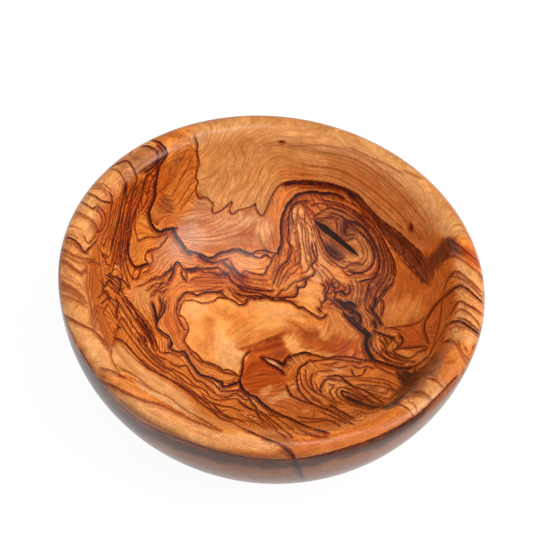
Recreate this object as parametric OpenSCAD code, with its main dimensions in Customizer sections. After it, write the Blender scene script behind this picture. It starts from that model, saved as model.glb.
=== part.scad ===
// Turned olive-wood dish with a rounded lip and a filled check across its knot
// Millimetres, +Z up, origin at the centre of the base on the table

/* [Outside] */
// Widest diameter, just under the lip
rim_d = 140; // [130:1:160]
// Height from the table to the top of the lip
height = 55; // [48:1:60]
// Diameter at which the outer wall would meet the table
base_d = 78; // [64:1:90]
// Radius of the softened edge round the base
heel_r = 3; // [1:0.5:5]

/* [Lip] */
// Radius of the lip on its outer side
lip_out_r = 4.5; // [3:0.5:7]
// Radius of the lip on its inner side
lip_in_r = 6; // [4:0.5:8]

/* [Hollow] */
// Lean of the inner wall away from upright where it leaves the lip, in degrees
wall_lean = 8; // [4:1:14]
// Thickness of wood under the foot of the inner wall
floor_t = 10; // [7:0.5:14]
// Radius of the shallow dishing of the floor
dish_r = 200; // [150:10:400]

/* [Check in the knot] */
// Direction of the check's middle round the dish, in degrees from +X
check_az = 63.5; // [0:0.5:360]
// Place of the check's middle up the arc of the inner wall, in degrees
check_rise = 45; // [30:1:60]
// Slope of the check along the wall, falling away from its upper tip, in degrees
check_tilt = 9; // [-20:1:20]
// Length of the check from tip to tip
check_len = 22.5; // [14:0.5:28]
// Greatest width of the check
check_w = 2.5; // [1.2:0.1:4]
// Distance of the greatest width from the upper tip
check_shoulder = 5; // [3:0.5:8]
// Width of the check where its tail starts
check_tail_w = 1.7; // [0.8:0.1:3]
// Length of the tail that runs out to the lower tip
check_tail = 4.5; // [2:0.5:5]
// Depth of the check under the face of the wall
check_depth = 4; // [2:0.5:6]

/* [Hidden] */
$fn = 180;

// The cutting shapes run this far past the faces they cut
past = 5;
// Neighbouring arcs cross by this hair, so that they meet in one clean edge
lap = 0.005;

function micron(x) = round(x * 1000) / 1000;

// Outer wall: one arc, upright at the widest diameter, that meets the table at base_d
rim_r = rim_d / 2;
girth_z = height - lip_out_r;
batter = rim_r - base_d / 2;
wall_out_r = micron((batter^2 + girth_z^2) / (2 * batter));
wall_out_cr = rim_r - wall_out_r;

// Heel: a small arc that touches the table and the outer wall
heel_cr = wall_out_cr + sqrt((wall_out_r - heel_r)^2 - (girth_z - heel_r)^2);
heel_z = micron(girth_z - (girth_z - heel_r) * wall_out_r / (wall_out_r - heel_r));

// Lip: an outer and an inner arc that share the crest
crest_r = rim_r - lip_out_r;
lip_in_cz = height - lip_in_r;
wall_turn = 90 - wall_lean;
wall_top_r = crest_r - lip_in_r * sin(wall_turn);
wall_top_z = lip_in_cz + lip_in_r * cos(wall_turn);

// Inner wall: one arc from the lip that would level out floor_t above the table
wall_in_r = (wall_top_z - floor_t) / (1 - cos(wall_turn));
wall_in_cr = wall_top_r - wall_in_r * sin(wall_turn);
wall_in_cz = wall_top_z + wall_in_r * cos(wall_turn);

// Floor: a wide arc about the axis that runs into the inner wall
dish_turn = asin(wall_in_cr / (dish_r - wall_in_r));
dish_cz = wall_in_cz + (dish_r - wall_in_r) * cos(dish_turn);
dish_edge_r = dish_r * sin(dish_turn);

// The part of a disc that lies in a window, given by two corners
module arc_in(centre, r, low, high) {
    intersection() {
        translate(centre) circle(r);
        translate(low) square(high - low);
    }
}

// Half section of the blank, before it is hollowed
module blank_2d() {
    square([heel_cr, height]);
    arc_in([heel_cr, heel_r], heel_r + lap, [0, 0], [rim_r, heel_r]);
    arc_in([wall_out_cr, girth_z], wall_out_r, [0, heel_z], [rim_r + past, girth_z]);
    translate([0, girth_z - past]) square([crest_r, past + lip_out_r]);
    arc_in([crest_r, girth_z], lip_out_r, [crest_r, girth_z], [rim_r + past, height + past]);
}

// Half section of the hollow, from the dished floor up through the mouth
module hollow_2d() {
    arc_in([0, dish_cz], dish_r, [0, 0], [dish_edge_r, wall_top_z + past]);
    arc_in([wall_in_cr, wall_in_cz], wall_in_r + lap, [0, 0], [rim_r, wall_top_z + lip_in_r / 2]);
    difference() {
        translate([0, wall_top_z]) square([crest_r, height - wall_top_z + past]);
        translate([crest_r, lip_in_cz]) circle(lip_in_r);
    }
}

// The dish as it comes off the lathe
module turned_dish() {
    rotate_extrude() difference() {
        blank_2d();
        hollow_2d();
    }
}

// Outline of the check: pointed at both tips, widest at its shoulder
module check_2d() {
    tail_y = check_tail - check_len / 2;
    shoulder_y = check_len / 2 - check_shoulder;
    polygon([
        [0, check_len / 2],
        [check_w / 2, shoulder_y],
        [check_tail_w / 2, tail_y],
        [0, -check_len / 2],
        [-check_tail_w / 2, tail_y],
        [-check_w / 2, shoulder_y],
    ]);
}

// The check as a wedge of space, square to the inner wall at its middle
module check_space() {
    rotate([0, 0, check_az])
        translate([wall_in_cr + wall_in_r * sin(check_rise), 0, wall_in_cz - wall_in_r * cos(check_rise)])
            rotate([0, -check_rise, 0])
                translate([0, 0, -check_depth])
                    rotate([0, 0, -check_tilt])
                        linear_extrude(check_depth + past) check_2d();
}

module bowl() {
    color("peru") difference() {
        turned_dish();
        check_space();
    }
}

// Dark filler set in the check and sanded flush with the wall
module knot_fill() {
    color("#2a2022") intersection() {
        turned_dish();
        check_space();
    }
}

bowl();
knot_fill();
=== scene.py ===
"""A turned olive-wood dish: its shape, figure and finish, and a plain stage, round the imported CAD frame."""

import math

import bmesh
import bpy
import numpy as np
from mathutils import Matrix, Vector, noise
from mathutils.bvhtree import BVHTree


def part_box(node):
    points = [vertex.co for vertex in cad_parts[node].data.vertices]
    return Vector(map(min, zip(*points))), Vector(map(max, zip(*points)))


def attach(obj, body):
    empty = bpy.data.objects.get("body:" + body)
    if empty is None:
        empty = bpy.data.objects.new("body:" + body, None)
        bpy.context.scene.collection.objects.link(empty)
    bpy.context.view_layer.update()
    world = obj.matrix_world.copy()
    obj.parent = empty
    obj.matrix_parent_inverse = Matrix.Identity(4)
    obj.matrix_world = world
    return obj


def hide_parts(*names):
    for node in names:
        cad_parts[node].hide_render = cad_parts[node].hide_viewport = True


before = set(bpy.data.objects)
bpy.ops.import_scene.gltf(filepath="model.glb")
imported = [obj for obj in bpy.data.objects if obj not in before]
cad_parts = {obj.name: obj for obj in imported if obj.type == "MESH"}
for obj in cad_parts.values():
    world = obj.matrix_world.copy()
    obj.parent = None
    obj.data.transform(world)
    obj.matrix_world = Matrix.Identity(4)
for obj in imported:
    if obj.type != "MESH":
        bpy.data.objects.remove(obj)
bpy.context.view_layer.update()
BOWL_LOW, BOWL_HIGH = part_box("bowl")

bl_info = {
    "name": "Turned olive-wood dish",
    "version": (1, 0, 0),
    "blender": (4, 5, 0),
    "location": "3D View > Sidebar > Olive Dish",
    "description": "Builds a turned olive-wood dish with a filled check across its knot",
    "category": "Object",
}

MM = 0.001

# The photograph's frame and the camera that took it, found from the rim's ellipse
PHOTO_SIDE = 540
SENSOR_WIDTH = 36.0
VIEW_LENS = 91.34
VIEW_DISTANCE = 0.450
VIEW_ELEVATION = math.radians(51.94)
VIEW_ROLL = math.radians(8.73)
# The middle of the frame lies this far left of and above the middle of the rim
VIEW_AIM_LEFT = 1.21 * MM
VIEW_AIM_UP = 1.12 * MM


def linear(code):
    """Turns an sRGB hex colour into linear red, green and blue."""
    parts = [int(code[i:i + 2], 16) / 255 for i in (1, 3, 5)]
    return tuple(c / 12.92 if c <= 0.04045 else ((c + 0.055) / 1.055) ** 2.4 for c in parts)


# Figure of the wood, drawn over the photograph. Each line is its width in pixels, its darkness from
# 0 to 1, and then the x, y of the bends that it runs through, in pixels of the photograph's frame.
# A few of these lines are painted shade rather than figure, and each is marked where it stands
FAR_LEFT_LIP = (
    (2.5, 0.95, 151, 139.5, 160, 143, 166.5, 151, 166, 156, 160, 166, 157, 178, 156, 186),
    (2.0, 0.8, 141, 146, 150, 146.5, 157, 151, 158.5, 155, 157.5, 160, 154, 165),
    (1.6, 0.7, 112, 166.5, 121, 162, 125, 160.5, 130, 163, 135, 172, 137, 180, 133, 191),
    (1.0, 0.45, 110, 168.5, 118, 170.5, 123, 177, 126.5, 185),
    (1.0, 0.4, 95, 184, 104, 184, 110, 190),
    (1.0, 0.4, 92, 185.5, 101, 186, 110, 194),
    (1.0, 0.35, 93, 188, 102, 189, 107, 195),
    (1.5, 0.75, 87, 192.5, 95, 196, 103, 201, 111, 202.5),
    (1.4, 0.7, 110, 193, 112, 197, 112, 203, 110.5, 214, 108, 228),
    (1.2, 0.6, 81, 201, 87, 205, 93, 208.5, 96, 206.5),
    (1.2, 0.65, 97, 209, 101, 215, 102, 222, 100, 228),
    (1.3, 0.65, 98, 206, 104, 212, 106, 221, 102, 230, 98, 232),
    (5.0, 0.28, 77, 213, 86.4, 217, 93, 222, 97, 229),
    (1.0, 0.35, 70, 225.5, 76, 227, 81, 229),
    (1.0, 0.35, 67, 234, 73, 235, 78, 238),
    (1.8, 0.8, 65, 236.4, 73, 239.3, 79.7, 245, 84.5, 252, 89.3, 248, 96, 241, 98, 236.4),
    (1.2, 0.5, 84, 236, 88, 243, 92, 240, 95, 236),
)
LEFT_LIP = (
    (3.4, 0.25, 64, 241, 73, 243, 78.7, 248, 85.5, 253),
    (4.2, 0.32, 61, 248, 69, 253, 77, 257, 85.5, 259, 92, 260),
    (3.2, 0.26, 62, 254, 71, 258.7, 78.7, 262.5, 86.4, 262.5),
    (4.6, 0.34, 61, 259.6, 69, 264.5, 76, 270.3, 81.6, 273.2, 85.5, 270.3),
    (3.4, 0.16, 60, 275, 75, 283, 82, 287),
    (6.0, 0.32, 60, 283, 69, 287, 77, 292.5, 84.5, 298.3),
    (4.0, 0.28, 61, 288.6, 71, 292.5, 80.6, 298.3, 88.4, 304),
    (3.2, 0.25, 62, 295.4, 71, 298.3, 80, 302, 86.4, 307),
    (3.0, 0.45, 66, 316.7, 75, 321.5, 84.5, 326.4, 94, 331, 104, 341, 110.6, 348.6),
    (3.0, 0.28, 86.4, 262.5, 87.4, 275, 86.4, 287, 89.3, 298, 91.3, 310, 92.2, 325),
    (1.5, 0.5, 88.4, 262.5, 94.2, 261.6, 98, 263.5),
    (1.0, 0.4, 91.8, 264.5, 90, 279, 88.7, 294.5),
    (1.0, 0.4, 93.4, 265.4, 92.4, 281, 91.5, 296.4),
    (1.0, 0.4, 95.1, 264.5, 97, 277, 98, 290.6),
    # Painted shade: a wide soft band on the outer slope of the lip, along its left edge
    (5.0, 0.3, 62, 244, 60, 262, 59, 285, 61, 305, 66, 322, 76, 342),
)
LEFT_WALL = (
    (3.2, 0.75, 126, 183, 124, 196, 121, 210, 118, 224, 114, 238, 111, 250),
    (1.4, 0.7, 127, 185, 126, 200, 122.5, 220, 121, 236, 120, 256, 121, 269, 123, 279),
    (1.3, 0.65, 134, 190, 130, 202, 126, 220, 124, 233, 122, 248),
    (1.3, 0.65, 137, 187, 132, 198, 129, 219, 128, 233, 127, 249),
    (1.6, 0.75, 148, 172, 144, 185, 142, 195, 137, 208, 132, 221, 130, 235, 129, 249),
    (1.0, 0.5, 150, 175, 147, 181, 145, 188),
    (1.4, 0.7, 124, 240, 122, 254, 124.5, 270, 130, 287),
    (1.2, 0.55, 116, 240, 114, 255, 110, 268),
    (1.2, 0.55, 119, 240, 117, 256, 113, 269, 112, 275),
    (2.5, 0.95, 128, 240, 128.5, 254, 133, 264.5, 137, 267, 144, 264.5, 148, 264),
    (1.5, 0.7, 126, 252, 127, 266, 132, 277, 135, 279, 138, 277.5, 141, 268, 143, 266),
    (1.5, 0.75, 148, 263, 145, 258, 147, 252, 155, 249),
    (1.2, 0.55, 136, 214, 135, 227, 138, 239, 141, 240, 147, 237, 157, 237, 167, 234),
    (1.2, 0.6, 168, 237, 161, 246, 158, 249),
    (1.5, 0.7, 102, 254, 105, 259, 107, 264, 109, 265),
    (1.3, 0.6, 98, 245, 100, 262, 102, 278, 105, 286, 107, 282, 110, 282, 116, 289, 119, 290.5, 122, 289),
)
LEFT_CHEVRONS = (
    (1.5, 0.9, 101, 281.5, 105, 286, 108.7, 280, 113, 283, 119, 289),
    (1.3, 0.85, 108, 275.5, 113.6, 279, 119, 284.5),
    (1.3, 0.85, 110.5, 274.5, 116, 277.3, 121, 279, 126, 283, 129, 287.5),
    (1.2, 0.75, 103, 289, 107, 284.5, 111, 287, 116, 292, 120, 295),
    (2.6, 0.9, 119, 278, 121, 284, 119, 291),
    (2.6, 0.9, 116, 298, 118.5, 304, 117, 311, 117, 318),
    (1.2, 0.75, 100, 296, 105, 292, 110, 297, 116, 301),
    (1.2, 0.75, 103, 302, 108, 298, 113, 304, 117, 309),
    (1.2, 0.7, 104, 310, 108, 304, 112, 312, 116, 318),
    (2.4, 0.34, 92, 313, 95, 308, 98, 306, 101, 309, 106, 319, 110, 328, 114, 333, 117, 327, 120, 320, 123,
     318, 127, 323),
    (2.4, 0.34, 92, 323, 95, 314, 98, 311, 101, 316, 105, 328, 108, 339, 111, 346, 114, 342, 117, 330, 121,
     327),
    (2.4, 0.3, 94, 330, 96, 322, 98.5, 319, 102, 329, 105, 338, 108, 346),
    (1.6, 0.85, 121, 290, 127, 299, 134, 309, 142, 320, 150, 331, 155, 340, 158, 348),
    (1.3, 0.8, 121, 296, 128, 308, 136, 320, 144, 332, 150, 342, 155, 351),
    (1.3, 0.8, 120, 304, 127, 316, 135, 328, 143, 340, 149, 349, 156, 357, 164, 363),
    (1.3, 0.75, 119, 312, 126, 323, 134, 335, 142, 346, 150, 356, 160, 365, 172, 371),
    (1.2, 0.7, 119, 320, 126, 331, 134, 342, 142, 353, 152, 363, 164, 372),
    (1.2, 0.65, 124, 299, 132, 308, 140, 316, 148, 325, 154, 334),
    (1.2, 0.6, 130, 302, 138, 311, 146, 320, 152, 328),
    (2.6, 0.85, 137, 318, 143, 327, 147, 334),
    (2.6, 0.85, 143, 322, 148, 331, 152, 340),
    (2.4, 0.85, 146, 332, 150, 338, 154, 345),
    (1.2, 0.6, 150, 281, 156, 277, 163, 276, 168, 272, 171, 266),
    (1.2, 0.6, 148, 290, 153, 286, 158, 287, 163, 283, 169, 284),
    (1.2, 0.55, 152, 296, 157, 291, 162, 292, 166, 289),
    (1.2, 0.5, 138, 286, 146, 283, 152, 279, 158, 279),
    (1.2, 0.5, 144, 272, 148, 270, 152, 262, 152, 255),
    (4.0, 0.95, 152.5, 303, 155.5, 313, 157, 322),
    (1.6, 0.85, 160, 298, 161.5, 306, 160, 313, 158, 322),
    (1.6, 0.8, 165, 304, 164, 312, 160, 318),
    (2.0, 0.9, 156, 322, 157.5, 328, 163, 332, 170, 338, 171, 346),
    (1.5, 0.8, 157, 329, 164, 336, 170, 339),
    (1.5, 0.75, 157, 354, 159, 356.5, 165, 359),
)
BOLD_SEAM = (
    (3.2, 0.95, 157, 178, 155, 186, 155.5, 195, 151, 207, 149, 213, 150, 220, 154, 228, 160, 232, 166,
     229.5, 176, 228.5),
    (5.0, 0.8, 173, 229, 176, 236, 181, 243, 186, 250, 191, 254),
    (2.6, 0.9, 188, 251, 195, 252.5, 203, 255.5, 208, 258, 214, 257, 219, 253.5, 229, 251, 236, 249),
    (3.4, 0.85, 198, 254.5, 203, 259, 208, 261.5),
    (1.8, 0.85, 203, 259, 210, 262, 215, 262.5, 221, 260.5, 228, 258.5),
    (3.0, 0.9, 233, 249.5, 240, 250, 246, 253, 252, 254),
    (1.4, 0.8, 250, 254, 255, 252, 260, 250, 266, 250.5, 271, 252.5, 278, 254),
    (1.4, 0.8, 251, 254.5, 256, 257, 261, 257.5, 265, 254.5, 269, 256.5, 272, 257.5, 275, 254),
    (2.6, 0.95, 278.5, 254.5, 279, 249, 281.5, 243, 281.5, 234, 281, 226, 282, 218, 285, 210, 290, 202),
)
ZIGZAG_SEAM = (
    (2.0, 0.55, 195, 137, 197.5, 145, 197, 153, 199, 163, 197, 171),
    (1.4, 0.55, 198, 168, 196, 177, 198, 182, 196, 189, 198, 196, 200, 198, 204, 197, 208, 198.5, 213.5,
     204.5),
    (1.3, 0.6, 213.5, 203, 212.5, 211, 215, 213, 223, 209, 230, 202.5, 232, 202.5, 230, 210, 231, 213, 234,
     213.5),
    (1.3, 0.6, 233, 213.5, 238, 210, 245, 208.5, 250, 207, 255.5, 204, 256, 208, 260, 214.5, 263, 215, 266,
     210),
    (1.3, 0.55, 265, 212, 271, 198, 277, 187.5, 283, 184, 292, 181, 297, 180.5),
    (1.2, 0.3, 170, 168, 170, 175, 165, 187, 160, 192),
)
KNOT_CAP = (
    (2.0, 0.6, 296, 181, 314, 181, 334, 184.5, 349, 190, 360, 197, 371, 210, 384, 222, 398, 232, 410, 243,
     421, 253),
    (1.2, 0.45, 300, 188, 320, 188, 341, 190.5, 356, 202, 370, 218, 381, 230, 390, 243, 399, 255),
    (3.4, 0.9, 287, 206, 291, 201, 295, 197, 300, 194, 311, 192, 323, 193.5, 334, 194, 344, 198.5),
    (1.8, 0.8, 289, 236, 288.5, 219, 291, 208, 298, 202, 308, 201),
    (1.1, 0.55, 294, 205, 292, 213, 293, 228),
    (1.0, 0.55, 300, 202, 308, 209, 313, 213),
    (1.0, 0.5, 303, 200, 309, 208),
    (1.0, 0.5, 311, 195, 315, 203),
    (1.0, 0.5, 320, 195, 326, 202),
    (1.2, 0.6, 312, 205.5, 320, 203, 331, 206),
    (1.3, 0.65, 323, 200, 337, 203, 350, 208, 362, 217, 368, 224),
    (1.2, 0.6, 330, 203.5, 344, 208, 357, 216, 370, 229),
    (1.6, 0.7, 315, 215.5, 324, 210, 330, 208, 341, 210.5, 353, 218, 365, 229, 371, 236),
    (1.2, 0.6, 331, 212, 343, 217, 354, 226),
    (1.2, 0.55, 311, 219, 323, 218, 333, 217, 338, 219),
    (1.0, 0.5, 297, 216, 302, 218, 304, 222),
)
KNOT_RINGS = (
    (1.3, 0.7, 360, 213, 372, 223, 381, 235, 388, 249, 393, 258, 395.5, 268, 395, 277, 390, 287, 385, 294,
     380, 301),
    (1.2, 0.6, 360, 218.5, 370, 226, 379, 237, 385, 250, 388, 264, 387, 277, 381, 286),
    (3.0, 0.75, 350, 221, 361, 226, 370, 236, 377, 250, 379.5, 262, 378, 271, 374, 276),
    (1.1, 0.6, 379, 245, 383, 258, 383, 268, 379, 280, 376, 286),
    (2.0, 0.8, 357, 229, 367, 239, 373, 249, 374.5, 259, 371, 267, 365, 271.5, 358, 273, 348, 271.5),
    (1.2, 0.65, 343, 270, 348, 275, 356, 274, 363, 274),
    (1.8, 0.8, 359, 281.5, 366, 280, 373, 278, 378, 274.5),
    (1.2, 0.6, 330, 260, 341, 267, 346, 267, 351, 264, 356, 263, 362, 265),
    (1.6, 0.75, 318, 229, 320, 236, 324, 245, 330, 254, 338, 259, 343, 258),
    (4.0, 0.35, 325, 242, 330, 249, 337, 255),
    (3.0, 0.4, 345, 221, 347.5, 226, 344, 231, 346, 235),
    (1.4, 0.7, 394.5, 262, 393.5, 271, 394, 276),
    (1.2, 0.6, 378, 275, 370, 284, 368, 293, 366, 303),
    (1.2, 0.65, 384, 283, 377, 292, 373, 302),
    (1.6, 0.75, 389, 286, 381, 295, 377, 305),
    (1.4, 0.65, 369, 283, 367, 291, 364, 302),
    (1.2, 0.55, 361, 282, 361.5, 290, 358, 307),
    (1.1, 0.5, 356, 280, 358, 289, 356, 304),
    (1.0, 0.6, 344, 200, 356, 206, 368, 217, 377, 229, 384, 242, 389, 254, 391.5, 266, 390, 278, 385, 287),
    (1.0, 0.6, 352, 210, 363, 219, 373, 231, 380, 244, 384, 256, 385, 268, 382, 279, 377, 287),
    (1.0, 0.55, 338, 205, 350, 211, 361, 221, 369, 232, 375, 244, 378, 256),
    (1.0, 0.55, 333, 209, 345, 213, 356, 221, 365, 231, 371, 242, 375, 252),
    (1.0, 0.5, 356, 201, 368, 212, 378, 224, 387, 238, 393, 251),
    (1.0, 0.4, 362, 240, 367, 249, 367, 258, 362, 264, 353, 266),
    (1.0, 0.35, 358, 240, 363, 249, 363, 257, 358, 262, 350, 263),
    (1.0, 0.4, 330, 214, 340, 216, 350, 224, 357, 234),
    (1.0, 0.4, 322, 239, 326, 247, 333, 255, 342, 261, 350, 262),
)
KNOT_LEFT = (
    (1.6, 0.75, 288, 236, 288.5, 242, 292, 250, 288.5, 258, 287, 262, 282, 265, 279, 270, 276, 277, 273.5,
     284),
    (1.2, 0.55, 296, 220, 297.5, 231, 298.5, 242, 300, 248, 300.5, 256, 300, 261, 295, 266),
    (2.2, 0.8, 299, 243, 299.8, 248),
    (1.7, 0.8, 312, 243, 312.5, 249, 316, 259, 314, 262.5, 311.5, 265, 315, 271, 314, 275, 308, 278, 305,
     278),
    (1.5, 0.75, 315, 243, 317.5, 256, 317, 261),
    (1.2, 0.6, 310, 250, 311, 262, 308, 270.5, 302.5, 273),
    (1.4, 0.7, 305.5, 278, 299, 281.5, 295, 282, 290, 286, 286, 290, 282, 290.5, 277, 296.5),
    (2.2, 0.85, 306, 279, 305.5, 284, 303.5, 287, 297, 288),
    (1.8, 0.85, 297, 286, 298, 289, 296, 296, 288, 297.5, 276, 298, 266, 297),
    (1.0, 0.45, 303, 220, 310, 226, 312, 232, 313, 238),
    (1.0, 0.45, 290.5, 220, 291, 227, 294, 234),
)
CONTOURS = (
    (2.0, 0.8, 160, 278, 164, 275, 168, 271.5, 173, 268, 175, 264.5, 177, 262, 179, 262.5, 183, 268, 187,
     269.5),
    (3.4, 0.95, 186, 269.3, 191, 269.5, 197, 267.8),
    (1.8, 0.8, 196, 268, 203, 268.5, 213, 268.5, 218, 267.5, 221, 269.5, 224, 273, 228, 273),
    (1.3, 0.65, 199, 270, 203, 272, 213, 273, 218, 276, 224, 273),
    (2.6, 0.8, 169, 280, 172, 275, 174, 269),
    (2.0, 0.75, 182, 271, 182, 275, 186.5, 281),
    (1.6, 0.7, 185, 270, 186.5, 274, 187, 279),
    (1.4, 0.7, 190, 271.5, 194, 271.5, 198, 269.5),
    (3.0, 0.75, 215.5, 274, 219, 275.5, 222, 274),
    (3.4, 0.85, 223.5, 272, 225.5, 275, 228, 273.5),
    (2.6, 0.7, 222, 261, 227, 265.5, 233, 269, 238, 273, 243, 276, 247, 276.5),
    (1.2, 0.6, 231, 261, 234, 267, 238, 272),
    (1.4, 0.65, 241, 275, 245, 270.5, 252, 273, 260, 274.5, 264.5, 274, 267, 268, 270, 264, 272, 258),
    (1.8, 0.8, 228, 275, 234, 283, 243, 286.5, 253, 289.5, 262, 290.5, 273, 290.5),
    (1.8, 0.8, 236, 284, 242, 290.5, 250, 292, 258, 293, 265, 295.5, 272, 297.5),
    (1.8, 0.8, 235, 292.5, 239, 295, 246, 296, 256, 296, 268, 298),
    (2.6, 0.85, 252, 298, 258, 298.5, 263, 298),
    (1.2, 0.55, 228, 287, 235, 296, 241, 300),
    (1.8, 0.75, 221, 291, 226, 297, 234, 301, 240, 305, 246, 303, 246.5, 299.5, 252, 298),
    (1.0, 0.4, 233, 277, 244, 281, 258, 284, 268, 285),
    (1.0, 0.4, 240, 282.5, 252, 287, 262, 288),
    (1.0, 0.4, 246, 278, 256, 279.5, 268, 280),
)
HEART_RIM = (
    (1.8, 0.9, 178.5, 301, 182, 295.5, 185, 293, 188, 292, 194, 294, 197, 295, 203, 293, 212, 292, 219, 292,
     222, 290.5),
    (1.3, 0.65, 179, 299, 177, 308, 176.5, 312, 180, 321, 184, 328.5, 187, 330),
    (1.2, 0.6, 184, 301, 180.5, 307, 179.5, 315, 183, 316.5, 187, 323, 188.5, 328, 188, 332, 185, 338, 184,
     341),
    (1.2, 0.65, 186, 300.5, 193, 300, 203, 303, 213, 301, 219, 297.5, 230, 299),
    (2.0, 0.8, 268, 298, 274, 300, 284, 300, 292, 302.5, 299, 307.5, 303, 307.5, 310, 312, 318, 317.5, 322,
     318, 326, 315),
    (1.5, 0.7, 184, 340, 190, 349, 198, 355, 203, 361, 211, 363, 219, 367, 223, 370, 230, 370, 238, 376),
    (1.1, 0.6, 207, 364, 217, 368, 225, 373, 235, 375, 240, 377),
    (1.1, 0.5, 189, 352, 196, 358.5, 203, 364),
    (2.6, 0.95, 171, 341, 172, 344, 170, 347, 172.5, 350, 180, 352, 184, 351),
    (2.8, 0.95, 183, 351, 187, 355, 189, 360, 194, 367, 200, 374.5, 211, 377.5, 218, 381, 222, 382, 222.5,
     386, 228, 386, 239, 382),
)
RUSSET_RIM = (
    (1.6, 0.75, 249, 352, 245, 356, 243, 362, 242.5, 370, 240.5, 378, 240, 383),
    (3.2, 0.95, 240, 381, 242, 388, 250, 395, 256, 397, 262, 403, 270, 409),
    (3.4, 0.92, 268, 408, 278, 413.5, 290, 418.5, 300, 423.5, 312, 428.5, 328, 433),
    (4.0, 0.28, 240, 349, 250, 346.5, 262, 342, 274, 337, 284, 333),
    (1.8, 0.9, 264, 357, 270, 358.5, 275, 360, 282, 365),
    (2.2, 0.95, 261.5, 357.5, 269, 363, 279, 369, 284, 373.5),
    (4.0, 0.9, 278, 361.5, 283, 364.5, 286, 360, 290, 356),
    (2.4, 0.92, 287, 359, 292, 356, 298, 354, 305, 352.5, 312, 354.5),
    (2.0, 0.65, 310, 354, 318, 356, 327, 358, 336, 356.5, 350, 357, 361, 359.5, 373, 361),
    (1.6, 0.6, 310, 361, 322, 360, 334, 359, 346, 360.5, 360, 362.5),
)
LOWER_LEFT = (
    (2.8, 0.85, 116, 338.5, 121, 340, 128, 346, 138, 357, 148, 367, 158, 373, 170, 379),
    (1.1, 0.55, 119, 340, 127, 351, 138, 361, 150, 370),
    (1.2, 0.6, 139, 338, 148, 350, 158, 361, 171, 370, 184, 381, 196, 387),
    (1.2, 0.6, 135, 342, 145, 355, 156, 365, 170, 374, 184, 384, 196, 393),
    (1.4, 0.65, 141, 359, 150, 366, 157, 370.5),
    (1.2, 0.65, 160, 351.5, 165, 353, 170, 352.5, 178, 356, 182, 355, 187, 358),
    (1.4, 0.7, 170, 362, 178, 366, 186, 365.5, 191, 373, 196, 380, 203, 382.5, 211, 389.5, 218, 395, 226,
     397, 236, 393.5, 244, 399, 249, 399.5),
    (1.3, 0.65, 171, 368, 179, 372, 187, 377, 196, 386, 205, 390, 212, 398, 221, 400, 236, 398.5, 244, 404,
     252, 409),
    (1.3, 0.75, 200, 376, 211, 381, 217, 386.5, 222, 391, 231, 391, 240, 391, 248, 397, 256, 407),
    (2.6, 0.75, 170, 379, 180, 386, 190, 393, 200, 402, 212, 411, 221, 418, 231, 422),
    (1.8, 0.7, 180, 384.5, 193, 393.5, 206, 403, 217, 412, 232, 420),
    (1.4, 0.65, 175, 381, 188, 388.5, 200, 397, 208, 403),
    (1.5, 0.75, 202, 395, 210, 402, 220, 405, 231, 407, 240, 410.5),
    (2.0, 0.8, 213, 404, 221, 412, 230, 417, 240, 420, 244, 422),
    (1.6, 0.7, 231, 422, 243, 428, 254, 434, 261, 436.5),
    (2.0, 0.8, 240, 402, 248, 408, 256, 411, 260, 417, 264, 421),
    (1.5, 0.7, 262, 412, 272, 420, 282, 428, 293, 437),
    (1.2, 0.55, 255, 409, 266, 414, 279, 417),
    (1.2, 0.55, 245, 420, 256, 423, 267, 429),
    (1.8, 0.65, 248, 430, 262, 437, 277, 443, 288, 449),
    (1.2, 0.5, 262, 423, 273, 429, 285, 435.5),
)
SWIRL = (
    (1.8, 0.75, 310, 361, 305, 364.5, 300, 368, 297, 377, 298, 387, 303, 395, 312, 403, 323, 408, 335,
     413.5, 346, 420, 354, 424.5),
    (1.8, 0.75, 287, 386, 289, 391, 293, 396, 303, 401, 313, 404),
    (1.4, 0.6, 312, 375, 311, 381, 315, 391, 326, 398, 336, 404),
    (1.8, 0.8, 328, 376.5, 338, 375.5, 345, 380, 353, 386, 364, 390, 376, 398, 382, 402),
    (1.8, 0.7, 321, 392, 320.5, 387, 326, 379.5, 332, 379, 340, 380.5),
    (1.3, 0.65, 344, 381, 354, 388, 364, 395, 374, 402, 381, 404),
    (1.4, 0.7, 337, 395, 336, 391, 342, 387, 352, 391, 361, 396, 371, 402.5),
    (2.0, 0.85, 347, 399, 343, 396, 341.5, 391, 346, 392, 353, 394.5, 361, 399),
    (4.6, 0.9, 347, 397, 355, 401, 364, 404.5, 376, 407, 386, 406),
    (1.1, 0.5, 356, 385, 368, 385, 380, 386, 388, 388.5, 386, 393.5, 374, 391.5, 366, 389),
    (1.1, 0.45, 372, 396, 384, 399, 394, 396, 397, 391),
    (2.6, 0.8, 331, 405, 338, 409.5, 344, 413, 351, 417),
    (1.2, 0.6, 312, 398, 324, 405, 333, 408),
    (1.4, 0.7, 352, 371, 354, 375, 358, 376, 362, 374.5, 366, 368),
    (1.2, 0.55, 338, 376, 346, 376.5, 356, 376),
    (1.1, 0.45, 311, 375, 320, 371, 333, 370.5),
    (1.8, 0.7, 300, 421.5, 312, 422, 324, 420.5, 332, 421, 340, 426),
    (2.4, 0.5, 299, 417, 312, 418.5, 326, 419),
    (1.1, 0.5, 288, 428, 300, 434, 312, 433.5),
)
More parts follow.
